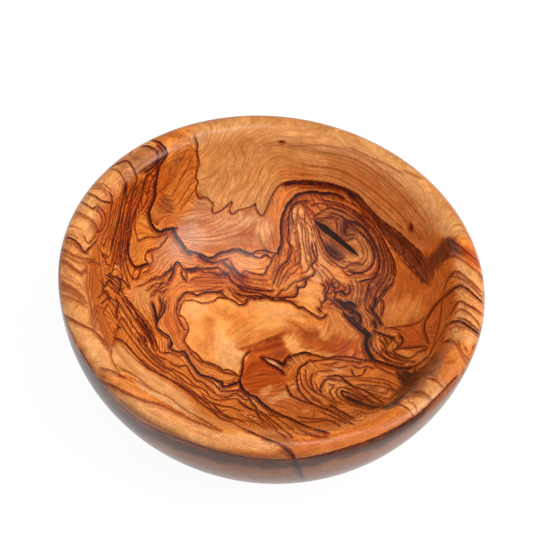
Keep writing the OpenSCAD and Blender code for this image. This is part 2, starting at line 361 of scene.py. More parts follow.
CROTCH = (
    (1.6, 0.75, 326, 281, 329, 288, 325, 296, 327, 299, 323, 303),
    (1.6, 0.75, 333, 279, 332, 286, 336, 288, 331, 293),
    (2.4, 0.85, 318, 308, 320.5, 311),
    (1.6, 0.8, 340, 302, 334, 298.5, 335.5, 294, 334, 292, 341, 292, 346, 294.5, 350, 292, 349, 286),
    (3.4, 0.9, 341, 291, 345, 294),
    (4.0, 0.9, 338, 301, 344, 304, 350, 303, 355, 306),
    (3.0, 0.9, 343, 307, 349, 309, 354, 310),
    (2.2, 0.85, 350, 313, 355, 312, 360, 316, 361, 322),
    (2.6, 0.85, 347, 318, 353, 318, 356, 323, 361, 327),
    (3.0, 0.9, 344, 313, 350, 321, 358, 328, 364, 333),
    (6.0, 0.95, 363, 330, 369, 336),
    (4.4, 0.95, 367, 337, 366, 345, 369, 353, 374, 360),
    (3.6, 0.95, 373, 360, 386, 364, 400, 368, 408, 368.5),
    (3.0, 0.9, 403, 368, 412, 367, 419, 363.5, 424, 359),
    (2.4, 0.9, 374, 331, 383, 334.5, 393, 338),
    (3.2, 0.9, 374, 321, 376, 327),
    (2.4, 0.8, 370, 306, 373, 312, 377, 317, 382, 324),
    (3.4, 0.75, 376, 298, 375, 304, 373, 310),
    (1.4, 0.7, 391, 338, 392, 341, 387, 346),
    (2.4, 0.8, 400, 335, 403, 340, 401, 345, 397, 347.5),
    (1.8, 0.75, 424, 346.5, 410, 348, 394, 350, 397, 354, 404, 357.5, 411, 357.5, 418, 352, 426, 349),
    (1.3, 0.65, 383, 350, 392, 357, 402, 360, 414, 361.5),
    (1.5, 0.7, 377, 352, 384, 358, 392, 361.5, 402, 364),
    (1.2, 0.6, 371, 342, 374, 351),
    (1.3, 0.6, 380, 340, 385, 346, 380, 353),
    (2.0, 0.6, 381, 300, 384, 304, 382, 316),
    (1.6, 0.6, 386, 328, 393, 327.5, 399, 330),
)
RIGHT_WALL = (
    (1.0, 0.45, 352, 196, 370, 213, 385, 228, 400, 241, 415, 256, 426, 274),
    (1.0, 0.4, 350, 199, 366, 216, 381, 233, 396, 249, 411, 265, 424, 280),
    (1.0, 0.4, 362, 201, 378, 219, 394, 233, 409, 246, 421, 258, 428, 270),
    (3.0, 0.85, 424, 360, 429, 355, 433, 347, 440, 337, 444, 330),
    (2.0, 0.75, 421, 368, 428, 365, 433, 358),
    (3.0, 0.7, 398, 374, 405, 382, 413, 380, 422, 375),
    (2.0, 0.6, 400, 370, 412, 374, 424, 368),
    (3.6, 0.75, 462, 285, 455, 288, 449, 293, 443, 298, 437, 304, 431, 312, 427, 320),
    (3.0, 0.65, 426, 319, 424.5, 328, 426, 335, 428, 341),
    (2.0, 0.55, 442, 300, 441, 316, 438, 330, 434, 344, 431, 351),
    (2.0, 0.6, 451, 312, 447, 319, 443, 330, 437, 342),
    (2.0, 0.6, 456, 306, 450, 318, 446, 329, 441, 341, 437, 347),
    (1.4, 0.5, 450, 326, 444, 338, 440, 345),
    (1.6, 0.45, 424, 318, 418, 323, 408, 326, 398, 327, 391, 330),
    (2.0, 0.35, 400, 258, 410, 268, 420, 278, 427, 283),
    (1.5, 0.7, 391, 389, 395, 391, 399, 388),
    (1.5, 0.6, 397, 391, 394, 396, 390, 399),
    (4.4, 0.95, 411, 225, 412, 230),
)
RIGHT_LIP = (
    (2.0, 0.35, 438, 268, 445, 258.5, 452, 256, 458, 257, 470, 266, 482, 276),
    (3.4, 0.42, 444, 290, 447, 281, 453, 273, 458, 272, 469, 280, 480, 291),
    (2.0, 0.4, 459, 278, 467, 282, 481, 296),
    (3.0, 0.7, 448, 293, 456, 287, 464, 287, 472, 293, 484, 304),
    (2.6, 0.55, 451, 312, 456, 304, 461, 301.3, 466, 304, 475, 309, 483, 315),
    (2.2, 0.38, 456, 312, 461, 309, 470, 314, 477, 321, 480, 327),
    (2.2, 0.5, 460, 318.5, 466, 320, 478, 330),
    (3.2, 0.78, 447, 325, 452, 322, 460, 321.5, 468, 326, 480, 335),
    (2.0, 0.36, 451, 328.5, 457, 326, 465, 328.5),
    (1.8, 0.35, 447, 342, 452, 341, 457, 345, 463, 357, 466, 362),
    (1.6, 0.32, 459, 341, 460, 347, 464, 355, 469, 359.5),
    (3.0, 0.6, 444, 342, 448, 340),
    (2.4, 0.7, 465.5, 348, 466.5, 349.5),
    (2.0, 0.4, 452, 241, 462, 248, 479, 262),
    (1.8, 0.42, 399, 404, 405, 406.5, 411, 412, 413.5, 416),
    (1.6, 0.32, 409, 402, 414, 404, 417, 411),
    (4.0, 0.34, 411, 393.5, 419, 392.5, 428, 396, 432, 402),
    (2.0, 0.34, 428, 378.5, 436, 380.5, 444, 388),
    (1.4, 0.25, 350, 147.5, 372, 157.5, 402, 172.5),
    (1.4, 0.25, 404, 170, 420, 178),
)
NEAR_LIP = (
    (2.4, 0.4, 101, 368, 112, 371, 125, 378),
    (2.6, 0.4, 121, 368, 136, 376, 150, 388, 170, 398, 186, 410, 200, 418, 216, 428),
    (3.4, 0.4, 98, 380, 112, 386, 128, 394, 144, 401, 160, 405, 176, 412, 192, 420, 206, 426, 222, 431),
    (1.8, 0.28, 112, 348, 111, 357, 119, 372),
    (1.4, 0.4, 100, 340, 111, 353),
    (4.6, 0.6, 283, 447, 290, 452, 294, 459, 299, 469, 303, 480),
    # Painted shade: a dark line along the girth, where the lip turns down into the outer wall
    (2.4, 0.6, 80, 349, 90, 366, 100, 383, 120, 405, 140, 421, 160, 431, 180, 439, 220, 452, 260, 459, 300,
     459, 340, 450, 380, 436, 420, 413, 455, 378),
    (1.0, 0.05, 300, 452, 340, 444, 380, 430, 410, 410, 440, 382, 458, 355),
    (1.0, 0.05, 290, 443, 330, 436, 365, 424, 400, 402, 425, 380, 447, 352),
    (1.0, 0.05, 330, 442, 360, 434, 390, 420, 420, 398),
    (1.0, 0.05, 120, 396, 150, 411, 180, 425, 220, 440, 270, 448),
)
SAPWOOD = (
    (5.0, 0.8, 284, 184, 296, 182.5, 314, 183.5, 334, 186.5, 347, 191, 356, 198),
    (1.2, 0.1, 232, 150, 236, 158, 234, 166),
    (1.2, 0.1, 240, 146, 245, 156, 243, 166),
    (1.2, 0.1, 226, 170, 228, 180, 222, 190),
    (1.2, 0.1, 236, 176, 236, 188, 228, 196),
    (1.2, 0.1, 250, 172, 246, 184, 236, 194),
    (1.2, 0.1, 262, 168, 256, 182, 246, 198),
    (1.2, 0.1, 276, 164, 266, 182, 256, 200),
    (1.2, 0.2, 310, 166, 340, 170, 370, 188, 400, 214, 420, 238),
    (1.2, 0.2, 300, 174, 330, 176, 356, 188, 380, 208, 404, 230),
    (1.2, 0.15, 320, 152, 356, 160, 390, 184, 424, 220),
    (1.2, 0.15, 290, 146, 330, 146, 366, 158, 400, 184),
    (1.0, 0.3, 192, 158, 182, 178, 172, 196),
    (1.0, 0.3, 186, 152, 176, 170, 166, 188),
    (1.0, 0.3, 196, 174, 186, 192, 177, 207),
    (1.0, 0.3, 197, 186, 189, 198, 180, 211),
    (3.4, 0.75, 281, 141.5, 283.5, 142),
)
KNOT_LEFT_FINE = (
    (1.0, 0.55, 293, 205, 291, 214, 295, 226, 296, 240, 299, 255, 302, 268),
    (1.0, 0.5, 299, 207, 297, 217, 302, 228, 303, 242, 306, 256, 309, 268),
    (1.0, 0.55, 305, 212, 305, 222, 308, 232, 309, 245, 311, 256, 318, 266),
    (1.0, 0.5, 287, 216, 286, 228, 290, 240, 289, 252, 285, 262, 281, 272),
    (1.0, 0.45, 301, 204, 305, 209, 311, 221, 315, 235, 319, 248, 326, 259, 333, 266),
    (1.0, 0.45, 297, 209, 300, 219, 305, 230, 306, 243, 309, 256),
    (1.0, 0.45, 314, 226, 318, 238, 322, 249, 329, 258, 338, 265),
    (1.0, 0.45, 320, 264, 328, 270, 334, 277, 338, 283),
    (1.0, 0.45, 322, 270, 327, 276, 331, 283),
    (1.0, 0.4, 316, 268, 321, 275, 323, 283),
)
LEFT_WALL_FINE = (
    (1.0, 0.6, 133, 185, 127, 200, 121, 222, 116, 245, 111, 265),
    (1.0, 0.6, 141, 180, 136, 195, 129, 211, 124, 235, 121, 258),
    (1.0, 0.55, 146, 176, 141, 190, 134, 206, 128, 224, 125.5, 240, 124, 262),
    (1.0, 0.5, 153, 176, 149, 188, 147, 200, 141, 211),
    (1.0, 0.5, 118, 200, 114, 216, 109, 232, 104, 246),
    (1.0, 0.5, 113, 212, 108, 226, 103, 238, 100, 250),
    (1.0, 0.45, 121, 196, 118, 210, 113, 228, 108, 245, 106, 258),
    (2.6, 0.85, 158, 146, 163, 151, 163, 156, 158, 162, 152, 168, 145, 172),
    (2.0, 0.8, 160, 160, 156, 168, 152, 172, 147, 177),
    (2.4, 0.8, 158, 166, 157, 173, 153, 178),
    (1.2, 0.6, 140, 172, 147, 167, 154, 163),
)
CROTCH_SPECKLE = (
    (1.4, 0.7, 322, 284, 326, 287, 324, 291, 328, 293),
    (1.4, 0.7, 328, 283, 331, 286, 334, 284),
    (1.3, 0.7, 324, 294, 327, 297, 324, 301),
    (1.3, 0.7, 329, 298, 333, 301, 337, 300),
    (1.5, 0.7, 336, 280, 340, 284, 338, 288),
    (1.3, 0.65, 342, 285, 346, 288, 344, 291),
    (1.5, 0.8, 330, 304, 334, 303, 338, 306),
    (1.2, 0.6, 320, 300, 322, 306, 320, 312),
    (1.0, 0.5, 352, 282, 354, 290, 352, 298),
    (1.0, 0.5, 364, 284, 363, 292, 361, 300, 360, 307),
    (1.0, 0.5, 372, 290, 370, 298, 367, 306),
    (1.4, 0.7, 384, 338, 388, 344, 386, 350, 390, 356),
    (1.2, 0.6, 376, 346, 380, 352, 386, 358, 396, 363),
    (1.3, 0.6, 394, 340, 398, 344, 396, 349),
    (1.2, 0.6, 390, 352, 396, 357, 404, 361),
)
CONTOUR_FAN = (
    (1.2, 0.6, 226, 263, 232, 272, 240, 281, 250, 286),
    (1.2, 0.55, 230, 262, 236, 272, 244, 280),
    (1.4, 0.6, 224, 270, 230, 279, 238, 286, 248, 291),
    (1.2, 0.5, 232, 288, 240, 294, 248, 296),
    (1.0, 0.5, 291, 254, 290, 262, 284, 268, 280, 276, 277, 286),
    (1.0, 0.5, 296, 258, 294, 265, 288, 271, 283, 279, 279, 288),
    (1.0, 0.45, 300, 262, 297, 270, 290, 276, 284, 284),
    (1.0, 0.4, 276, 258, 275, 268, 272, 278),
    (1.0, 0.4, 280, 258, 278, 268, 275, 280),
)
SWIRL_FINE = (
    (1.2, 0.55, 300, 372, 302, 384, 309, 393, 320, 401),
    (1.2, 0.5, 306, 370, 306, 380, 311, 389, 322, 396, 334, 402),
    (1.2, 0.5, 316, 384, 320, 392, 330, 398, 342, 404),
    (1.2, 0.6, 330, 384, 334, 386, 330, 392, 334, 398),
    (1.2, 0.5, 350, 384, 362, 389, 374, 394, 386, 398),
    (1.2, 0.5, 346, 386, 358, 393, 370, 400, 380, 406),
    (1.2, 0.5, 358, 380, 372, 381, 386, 384, 394, 389),
    (1.0, 0.45, 352, 378, 368, 378, 386, 380, 398, 386),
    (1.2, 0.5, 340, 398, 350, 404, 362, 408),
    (1.4, 0.6, 322, 412, 334, 417, 346, 423),
    (1.2, 0.5, 356, 410, 368, 413, 380, 410),
    (1.2, 0.55, 326, 408, 340, 414, 352, 420, 360, 420),
    (1.2, 0.5, 330, 366, 338, 368, 346, 366),
    (1.4, 0.6, 354, 366, 360, 368, 366, 366, 372, 368),
    (1.4, 0.6, 322, 364, 330, 364, 338, 362),
    (1.2, 0.5, 376, 366, 384, 370, 392, 374),
    (1.2, 0.6, 252, 404, 260, 412, 268, 420, 276, 428),
    (1.2, 0.55, 258, 402, 268, 411, 280, 420, 292, 428),
    (1.2, 0.55, 250, 414, 262, 420, 274, 428, 286, 438),
    (1.2, 0.5, 240, 414, 252, 420, 264, 427),
    (1.2, 0.5, 296, 426, 308, 432, 320, 436),
    (1.4, 0.55, 300, 430, 314, 436, 328, 437),
)
FIGURE = (
    SAPWOOD + KNOT_LEFT_FINE + LEFT_WALL_FINE + CROTCH_SPECKLE + CONTOUR_FAN + SWIRL_FINE + FAR_LEFT_LIP
    + LEFT_LIP + LEFT_WALL + LEFT_CHEVRONS + BOLD_SEAM + ZIGZAG_SEAM + KNOT_CAP + KNOT_RINGS + KNOT_LEFT
    + CONTOURS + HEART_RIM + RUSSET_RIM + LOWER_LEFT + SWIRL + CROTCH + RIGHT_WALL + RIGHT_LIP + NEAR_LIP
)

# Pale rays and flecks across the rings, and painted glints of light on the gloss among them, written
# in the same way
FLECKS_AND_GLINTS = (
    (1.6, 0.28, 251, 299, 257, 309, 263, 319),
    (1.6, 0.28, 257, 299, 264, 311, 270, 322),
    (1.4, 0.25, 263, 302, 268, 311, 274, 319),
    (1.6, 0.45, 287, 362, 293, 365),
    (1.6, 0.45, 293, 357.5, 298, 363),
    (1.6, 0.45, 300, 356, 303, 361),
    (2.0, 0.45, 309, 362, 312, 366),
    (1.6, 0.45, 300, 371, 306, 373),
    (1.6, 0.45, 299, 377, 305, 378),
    (2.0, 0.45, 296, 383, 302, 382),
    (1.6, 0.5, 303, 366, 308, 371),
    (4.0, 0.5, 291, 388, 296, 386),
    (4.0, 0.55, 333, 368, 341, 371),
    (2.4, 0.55, 319, 373, 327, 375),
    (3.0, 0.5, 249, 417, 257, 419),
    (3.0, 0.5, 272, 428, 279, 431),
    (2.4, 0.45, 254, 402, 258, 405),
    (2.4, 0.45, 259, 408, 264, 411),
    (4.0, 0.45, 375, 346, 380, 351),
    (2.4, 0.4, 214, 386, 218, 394),
    (1.6, 0.4, 100, 270, 101, 262),
)

# The growth rings are counted outwards from these three places: the pale heart, the knot and the swirl
HEARTS = (
    (178, 308, 190, 295, 220, 298, 250, 304, 290, 304, 322, 318, 345, 340, 300, 350, 245, 360, 222, 368,
     195, 352, 180, 318),
    (311, 218, 335, 239, 359, 257),
    (345, 390, 388, 390),
)

# Tones of the wood, with some painted shade and highlights, laid one over another. Each is the name of
# its colour, the width of its soft edge in pixels, its strength, how closely its rings crowd, and the x, y
# of its corners in pixels of the frame.
FAR_TONES = (
    ("pink", 12, 1.0, 0.5, 196, 196, 207, 196, 213, 206, 214, 212, 223, 209, 231, 203, 232, 213, 245, 208,
     256, 205, 262, 214, 268, 206, 274, 196, 282, 200, 281, 214, 280, 232, 280, 249, 270, 252, 255, 252,
     240, 249, 228, 252, 214, 258, 203, 256, 192, 252, 184, 245, 179, 237, 177, 227, 182, 214, 188, 206),
    ("peach", 9, 0.35, 0.1, 214, 216, 230, 210, 250, 212, 262, 218, 256, 226, 236, 224, 218, 228),
    ("peach", 8, 0.55, 0.1, 255, 223, 264, 221, 272, 224, 271, 234, 260, 236),
    ("amber", 8, 0.7, 0.4, 190, 247, 200, 246, 215, 247, 230, 243, 248, 243, 265, 243, 280, 240, 280, 248,
     262, 249, 248, 252, 236, 248, 222, 251, 212, 256, 200, 253),
    ("rust", 7, 0.5, 0.3, 203, 221, 210, 219, 214, 227, 211, 234, 204, 232),
    ("rust", 7, 0.55, 0.3, 237, 231, 246, 227, 254, 232, 251, 241, 240, 240),
    ("rust", 7, 0.5, 0.3, 268, 236, 275, 229, 281, 232, 280, 243, 272, 244),
    ("ochre", 9, 1.0, 0.5, 166, 152, 182, 141, 196, 141, 198, 165, 196, 190, 199, 198, 190, 208, 182, 218,
     176, 228, 165, 227, 154, 222, 152, 212, 156, 195, 158, 178, 162, 166),
    ("amber", 10, 0.5, 0.5, 164, 158, 192, 150, 196, 176, 196, 196, 184, 212, 176, 226, 160, 226, 154, 214),
    ("rust", 6, 0.8, 0.6, 157, 164, 163, 160, 166, 172, 167, 186, 164, 200, 157, 206, 153, 204, 157, 186),
    ("redbrown", 6, 0.75, 0.8, 162, 195, 168, 196, 173, 204, 171, 215, 165, 217, 159, 208),
    ("brown", 4, 0.8, 0.5, 172, 160, 179, 156, 184, 159, 178, 163, 174, 167),
    ("amber", 7, 0.6, 0.5, 155, 214, 168, 214, 182, 220, 176, 228, 165, 226, 156, 222),
    ("tan", 4, 1.0, 0.28, 188, 128, 195, 138, 197, 145, 199, 165, 197, 190, 205, 198, 214, 211, 232, 203,
     234, 213, 256, 205, 262, 214, 270, 203, 276, 190, 290, 181, 320, 181, 345, 188, 362, 198, 380, 219,
     400, 233, 421, 252, 430, 247, 440, 236, 462, 236, 480, 240, 445, 180, 405, 140, 350, 112, 290, 100,
     230, 103),
    ("amber", 34, 0.55, 0.2, 330, 158, 365, 165, 400, 190, 430, 222, 440, 236, 425, 250, 400, 232, 380, 217,
     362, 197, 330, 182),
    ("amber", 12, 0.6, 0.3, 278, 170, 300, 166, 320, 171, 312, 180, 290, 180, 278, 186),
    ("rust", 12, 0.5, 0.2, 405, 222, 425, 234, 440, 238, 436, 250, 428, 262, 418, 250, 405, 238),
    ("amber", 7, 0.5, 0.15, 150, 141, 165, 131, 185, 123, 205, 117, 240, 113, 300, 113, 340, 120, 380, 136,
     420, 164, 455, 204, 470, 235, 466, 236, 450, 206, 418, 170, 380, 143, 340, 127, 300, 119, 240, 119,
     205, 124, 180, 134, 164, 143),
    ("orange", 4, 0.8, 0.5, 266, 212, 270, 203, 276, 193, 284, 186, 297, 186, 312, 189, 298, 193, 289, 201,
     284, 211, 282, 222, 280, 232, 274, 228, 270, 220),
    ("redbrown", 4, 0.95, 0.7, 345, 189, 352, 191, 361, 198, 371, 210, 384, 222, 398, 232, 410, 243, 421,
     253, 429, 262, 430, 277, 430.5, 288, 421, 281, 411, 269, 400, 255, 390, 243, 381, 231, 370, 218, 358,
     204, 350, 197),
    ("redbrown", 5, 1.0, 0.8, 426, 257, 433, 252, 438, 246, 443, 238, 448, 236, 454, 239, 460, 244, 468,
     252, 466, 258, 457, 256, 448, 257, 441, 263, 435, 271, 431, 283),
    ("rust", 4, 0.8, 0.2, 456, 241, 466, 245, 478, 256, 484, 272, 476, 268, 466, 260, 460, 250),
)
KNOT_TONES = (
    ("redbrown", 5, 0.42, 0.8, 349, 205, 362, 213, 374, 225, 384, 240, 392, 254, 396, 268, 393, 284, 385,
     296, 377, 306, 370, 302, 366, 290, 372, 280, 380, 268, 378, 254, 371, 238, 360, 226, 350, 218),
    ("amber", 5, 0.8, 0.8, 290, 206, 298, 199, 312, 194, 330, 196, 345, 200, 356, 206, 362, 213, 350, 212,
     335, 207, 322, 210, 314, 216, 308, 210, 300, 206),
    ("amber", 5, 0.8, 0.5, 352, 204, 364, 209, 373, 219, 367, 223, 356, 214),
    ("ochre", 4, 0.9, 0.7, 314, 214, 326, 208, 338, 208, 352, 214, 364, 226, 372, 240, 372, 250, 362, 256,
     344, 240, 330, 228),
    ("redbrown", 6, 0.6, 0.8, 318, 217, 330, 212, 342, 213, 354, 222, 360, 232, 356, 242, 346, 240, 332,
     228, 322, 222),
    ("ochre", 4, 0.8, 0.5, 314, 224, 322, 234, 334, 246, 350, 256, 356, 262, 344, 266, 332, 260, 322, 248,
     316, 236),
    ("tan", 4, 0.6, 0.6, 356, 233, 363, 236, 370, 246, 373, 258, 369, 267, 360, 271, 349, 270, 340, 266,
     334, 262, 344, 258, 352, 254, 358, 250, 355, 242),
    ("redbrown", 7, 0.9, 0.8, 323, 240, 330, 240, 338, 246, 346, 254, 344, 259, 336, 259, 329, 254, 324,
     247),
    ("soot", 8, 0.5, 0.5, 324, 242, 330, 242, 337, 247, 343, 253, 342, 257, 336, 257, 329, 252),
    ("redbrown", 5, 0.9, 0.6, 343, 222, 348, 221, 351, 227, 349, 235, 344, 236, 341, 230),
    ("soot", 5, 0.5, 0.5, 344, 223, 348, 223, 349, 229, 347, 234, 344, 233),
    ("redbrown", 4, 0.7, 0.6, 312, 216, 318, 218, 340, 233, 354, 247, 360, 257, 350, 255, 334, 245, 318,
     231, 312, 222),
    ("peach", 4, 0.8, 0.35, 290, 210, 297, 206, 306, 212, 312, 220, 318, 236, 322, 250, 330, 262, 334, 272,
     328, 282, 316, 282, 306, 276, 300, 262, 296, 248, 291, 236, 289, 222),
    ("orange", 6, 0.8, 0.55, 281, 250, 290, 252, 296, 264, 306, 276, 300, 284, 286, 292, 274, 296, 266, 290,
     268, 270, 274, 258),
    ("honey", 7, 0.75, 0.3, 270, 278, 282, 275, 296, 279, 301, 285, 288, 292, 274, 292),
    ("amber", 6, 0.6, 0.6, 298, 204, 310, 209, 315, 220, 306, 222, 300, 214),
    ("amber", 6, 0.6, 0.5, 325, 278, 350, 276, 352, 300, 338, 302, 324, 306),
    ("tan", 5, 0.6, 0.6, 352, 276, 366, 280, 366, 300, 360, 308, 352, 300),
    ("honey", 5, 0.8, 0.3, 330, 262, 344, 268, 350, 278, 348, 286, 338, 284, 330, 275),
    ("umber", 5, 0.75, 0.9, 337, 301, 346, 299, 354, 302, 357, 307, 353, 311, 346, 311, 340, 307),
    ("umber", 5, 0.7, 0.9, 350, 312, 358, 309, 363, 315, 365, 326, 362, 331, 355, 327, 348, 320),
    ("soot", 4, 0.6, 0.6, 361, 330, 367, 331, 374, 334, 375, 339, 372, 346, 370, 352, 376, 360, 370, 360,
     364, 350, 364, 340),
    ("brown", 6, 0.6, 0.9, 364, 306, 374, 302, 382, 308, 384, 326, 376, 330, 366, 322),
    ("ochre", 6, 0.7, 0.8, 376, 338, 392, 338, 404, 342, 420, 350, 424, 360, 404, 364, 386, 360, 376, 350),
)
LEFT_TONES = (
    ("rust", 5, 0.8, 1.0, 124, 186, 137, 181, 150, 172, 158, 178, 155, 196, 149, 212, 139, 214, 134, 230,
     129, 246, 128, 262, 118, 268, 110, 262, 112, 248, 118, 226, 122, 206),
    ("redbrown", 6, 0.3, 0.9, 149, 202, 157, 198, 157, 214, 152, 226, 146, 220),
    ("rust", 8, 0.6, 0.6, 92, 262, 102, 262, 105, 282, 106, 304, 98, 308, 93, 290),
    ("amber", 6, 0.8, 0.9, 112, 190, 124, 186, 120, 210, 114, 236, 108, 262, 98, 258, 100, 240, 108, 222),
    ("ochre", 4, 0.9, 0.5, 137, 216, 146, 214, 152, 224, 160, 233, 166, 236, 158, 240, 148, 246, 143, 256,
     146, 262, 138, 265, 131, 258, 130, 246, 134, 232),
    ("pink", 6, 0.7, 0.5, 158, 240, 168, 236, 176, 242, 186, 254, 198, 262, 212, 266, 196, 267, 186, 266,
     178, 260, 172, 267, 162, 272, 154, 270, 150, 262, 154, 250),
    ("orange", 8, 0.7, 1.0, 98, 262, 120, 262, 128, 286, 136, 306, 150, 330, 158, 346, 140, 356, 120, 338,
     104, 316, 96, 290),
    ("tan", 7, 0.6, 0.4, 130, 284, 144, 282, 152, 296, 154, 312, 146, 318, 136, 308, 128, 296),
    ("amber", 7, 0.7, 0.9, 146, 272, 160, 278, 170, 282, 172, 300, 164, 312, 156, 300, 150, 288),
    ("orange", 5, 0.8, 0.5, 170, 284, 178, 272, 184, 276, 190, 288, 184, 296, 176, 304, 170, 298),
    ("rust", 7, 0.6, 0.3, 162, 318, 170, 308, 177, 312, 182, 326, 186, 334, 180, 346, 172, 338, 164, 326),
    ("rust", 7, 0.75, 0.9, 190, 272, 202, 273, 214, 274, 222, 277, 230, 285, 226, 289, 212, 290, 200, 291,
     192, 286, 190, 279),
    ("rust", 6, 0.65, 0.7, 222, 262, 230, 264, 238, 272, 248, 278, 262, 281, 270, 284, 268, 292, 256, 292,
     242, 288, 232, 282, 226, 272),
    ("honey", 4, 0.5, 0.4, 228, 256, 238, 254, 250, 257, 262, 259, 270, 260, 266, 272, 256, 272, 246, 270,
     238, 268, 232, 262),
    ("orange", 4, 0.8, 0.5, 244, 276, 266, 276, 274, 262, 280, 256, 276, 280, 268, 288, 254, 286),
    ("orange", 7, 0.8, 0.75, 160, 350, 186, 356, 198, 374, 222, 388, 240, 392, 262, 408, 290, 424, 300, 436,
     284, 440, 255, 434, 225, 420, 195, 400, 165, 376, 140, 358, 120, 340, 136, 340, 150, 352),
)
HEART_TONES = (
    ("honey", 4, 1.0, 0.08, 180, 305, 186, 298, 200, 297, 215, 298, 228, 299, 238, 304, 248, 306, 256, 299,
     275, 301, 290, 303, 300, 308, 316, 317, 326, 317, 335, 312, 345, 318, 356, 328, 362, 338, 360, 352,
     345, 355, 325, 356, 300, 352, 288, 352, 282, 335, 262, 341, 248, 350, 243, 365, 236, 372, 222, 368,
     205, 361, 196, 352, 188, 345, 184, 338, 188, 330, 180, 318),
    ("peach", 10, 0.8, 0.05, 184, 304, 200, 302, 210, 306, 206, 316, 196, 320, 186, 318),
    ("peach", 10, 0.7, 0.05, 212, 334, 226, 332, 236, 340, 238, 360, 232, 368, 216, 362, 208, 350),
    ("peach", 8, 0.6, 0.05, 262, 304, 280, 306, 296, 312, 284, 318, 266, 314),
    ("orange", 12, 0.8, 0.1, 220, 310, 238, 312, 258, 322, 250, 330, 232, 328, 222, 322),
    ("orange", 8, 0.8, 0.25, 236, 338, 252, 330, 276, 328, 290, 330, 284, 334, 262, 342, 248, 350, 240,
     352),
    ("orange", 8, 0.6, 0.2, 206, 318, 214, 322, 216, 344, 212, 362, 204, 352),
    ("rust", 5, 0.4, 0.3, 240, 303, 254, 299, 258, 306, 250, 313, 243, 309),
    ("orange", 6, 0.9, 0.4, 300, 312, 318, 319, 334, 311, 346, 316, 356, 328, 362, 340, 360, 354, 340, 355,
     330, 352, 328, 336, 318, 324, 304, 322),
    ("honey", 4, 0.9, 0.15, 297, 288, 306, 281, 318, 282, 325, 290, 322, 300, 318, 310, 320, 316, 310, 312,
     302, 307, 297, 300),
    ("amber", 8, 0.8, 0.4, 278, 329, 290, 323, 304, 321, 316, 324, 328, 331, 336, 342, 334, 354, 312, 352,
     300, 346, 290, 334),
    ("rust", 6, 0.6, 0.5, 296, 332, 312, 329, 326, 332, 331, 342, 327, 353, 312, 351, 300, 349),
    ("rust", 8, 0.9, 0.4, 322, 340, 334, 338, 348, 337, 358, 344, 364, 356, 340, 357, 326, 355),
    ("honey", 4, 0.6, 0.2, 314, 324, 322, 326, 328, 333, 330, 341, 325, 338, 319, 331),
    ("rust", 6, 1.0, 0.5, 243, 354, 262, 343, 283, 334, 285, 342, 288, 353, 284, 359, 283, 366, 287, 374,
     289, 383, 276, 385, 262, 392, 256, 396, 247, 392, 242, 385, 242, 368),
    ("redbrown", 8, 0.4, 0.3, 262, 346, 282, 336, 285, 352, 277, 358, 268, 355),
    ("honey", 4, 0.45, 0.3, 284, 334, 294, 333, 299, 349, 289, 353),
    ("peach", 2, 1.0, 0.0, 265, 358, 268, 358, 276, 362, 283, 367, 281, 369, 274, 365.5, 267, 361),
)
SWIRL_TONES = (
    ("orange", 6, 0.9, 0.55, 298, 362, 330, 362, 355, 365, 375, 365, 398, 378, 404, 392, 392, 405, 372, 410,
     352, 402, 330, 412, 310, 402, 298, 390),
    ("amber", 6, 0.7, 0.6, 286, 362, 296, 357, 310, 356, 316, 362, 304, 366, 298, 378, 296, 390, 288, 384,
     285, 372),
    ("orange", 6, 0.8, 0.5, 298, 366, 312, 362, 328, 364, 322, 376, 316, 388, 330, 404, 316, 402, 302, 394,
     297, 380),
    ("honey", 5, 0.5, 0.7, 322, 382, 334, 378, 350, 386, 362, 392, 350, 398, 338, 396, 330, 402, 318, 396),
    ("orange", 8, 0.6, 0.5, 352, 366, 375, 365, 398, 378, 404, 392, 392, 405, 372, 408, 356, 396, 350, 380),
    ("tan", 4, 0.6, 0.5, 356, 386, 370, 384.5, 384, 387, 388, 390, 380, 393, 366, 391),
    ("umber", 4, 0.9, 0.4, 345, 396, 354, 399, 368, 404, 385, 406, 396, 400, 388, 408, 372, 410, 358, 405,
     349, 401),
    # Dark figure of the wood along the inner edge of the near lip at the right, deepened with painted shade
    # under the lip
    ("umber", 6, 1.0, 0.9, 396, 370, 412, 372, 424, 366, 433, 355, 440, 350, 440, 360, 426, 377, 418, 386,
     408, 397, 394, 407, 384, 410, 394, 397, 400, 388, 402, 381),
    ("amber", 5, 0.75, 0.5, 256, 396, 276, 385, 290, 386, 300, 397, 320, 408, 345, 420, 352, 424, 338, 430,
     322, 428, 300, 419, 284, 413, 268, 405),
    # Three small pale patches: partly pale rays of the wood, partly painted glints of light on the gloss
    ("pale", 2.5, 0.75, 0.2, 259, 391, 271, 384, 274, 388, 263, 396),
    ("pale", 2.5, 0.75, 0.2, 266, 399, 285, 391, 288, 397, 270, 404),
    ("pale", 2.5, 0.6, 0.2, 300, 410, 308, 407, 310, 412, 302, 415),
)
RIGHT_TONES = (
    ("amber", 5, 1.0, 0.15, 397, 264, 412, 270, 421, 281, 430, 288, 434, 276, 442, 262, 455, 257, 456, 270,
     447, 281, 442, 296, 432, 308, 424, 318, 412, 326, 398, 328, 386, 326, 383, 316, 386, 300, 394, 286,
     396, 274),
    ("honey", 14, 0.5, 0.1, 388, 304, 408, 300, 424, 304, 420, 318, 402, 326, 386, 322),
    ("rust", 4, 0.65, 0.6, 428, 316, 440, 302, 452, 292, 458, 288, 454, 304, 446, 322, 438, 342, 430, 350,
     425, 336),
    ("rust", 6, 0.8, 0.3, 404, 326, 422, 320, 425, 336, 424, 346, 404, 348, 398, 336),
)
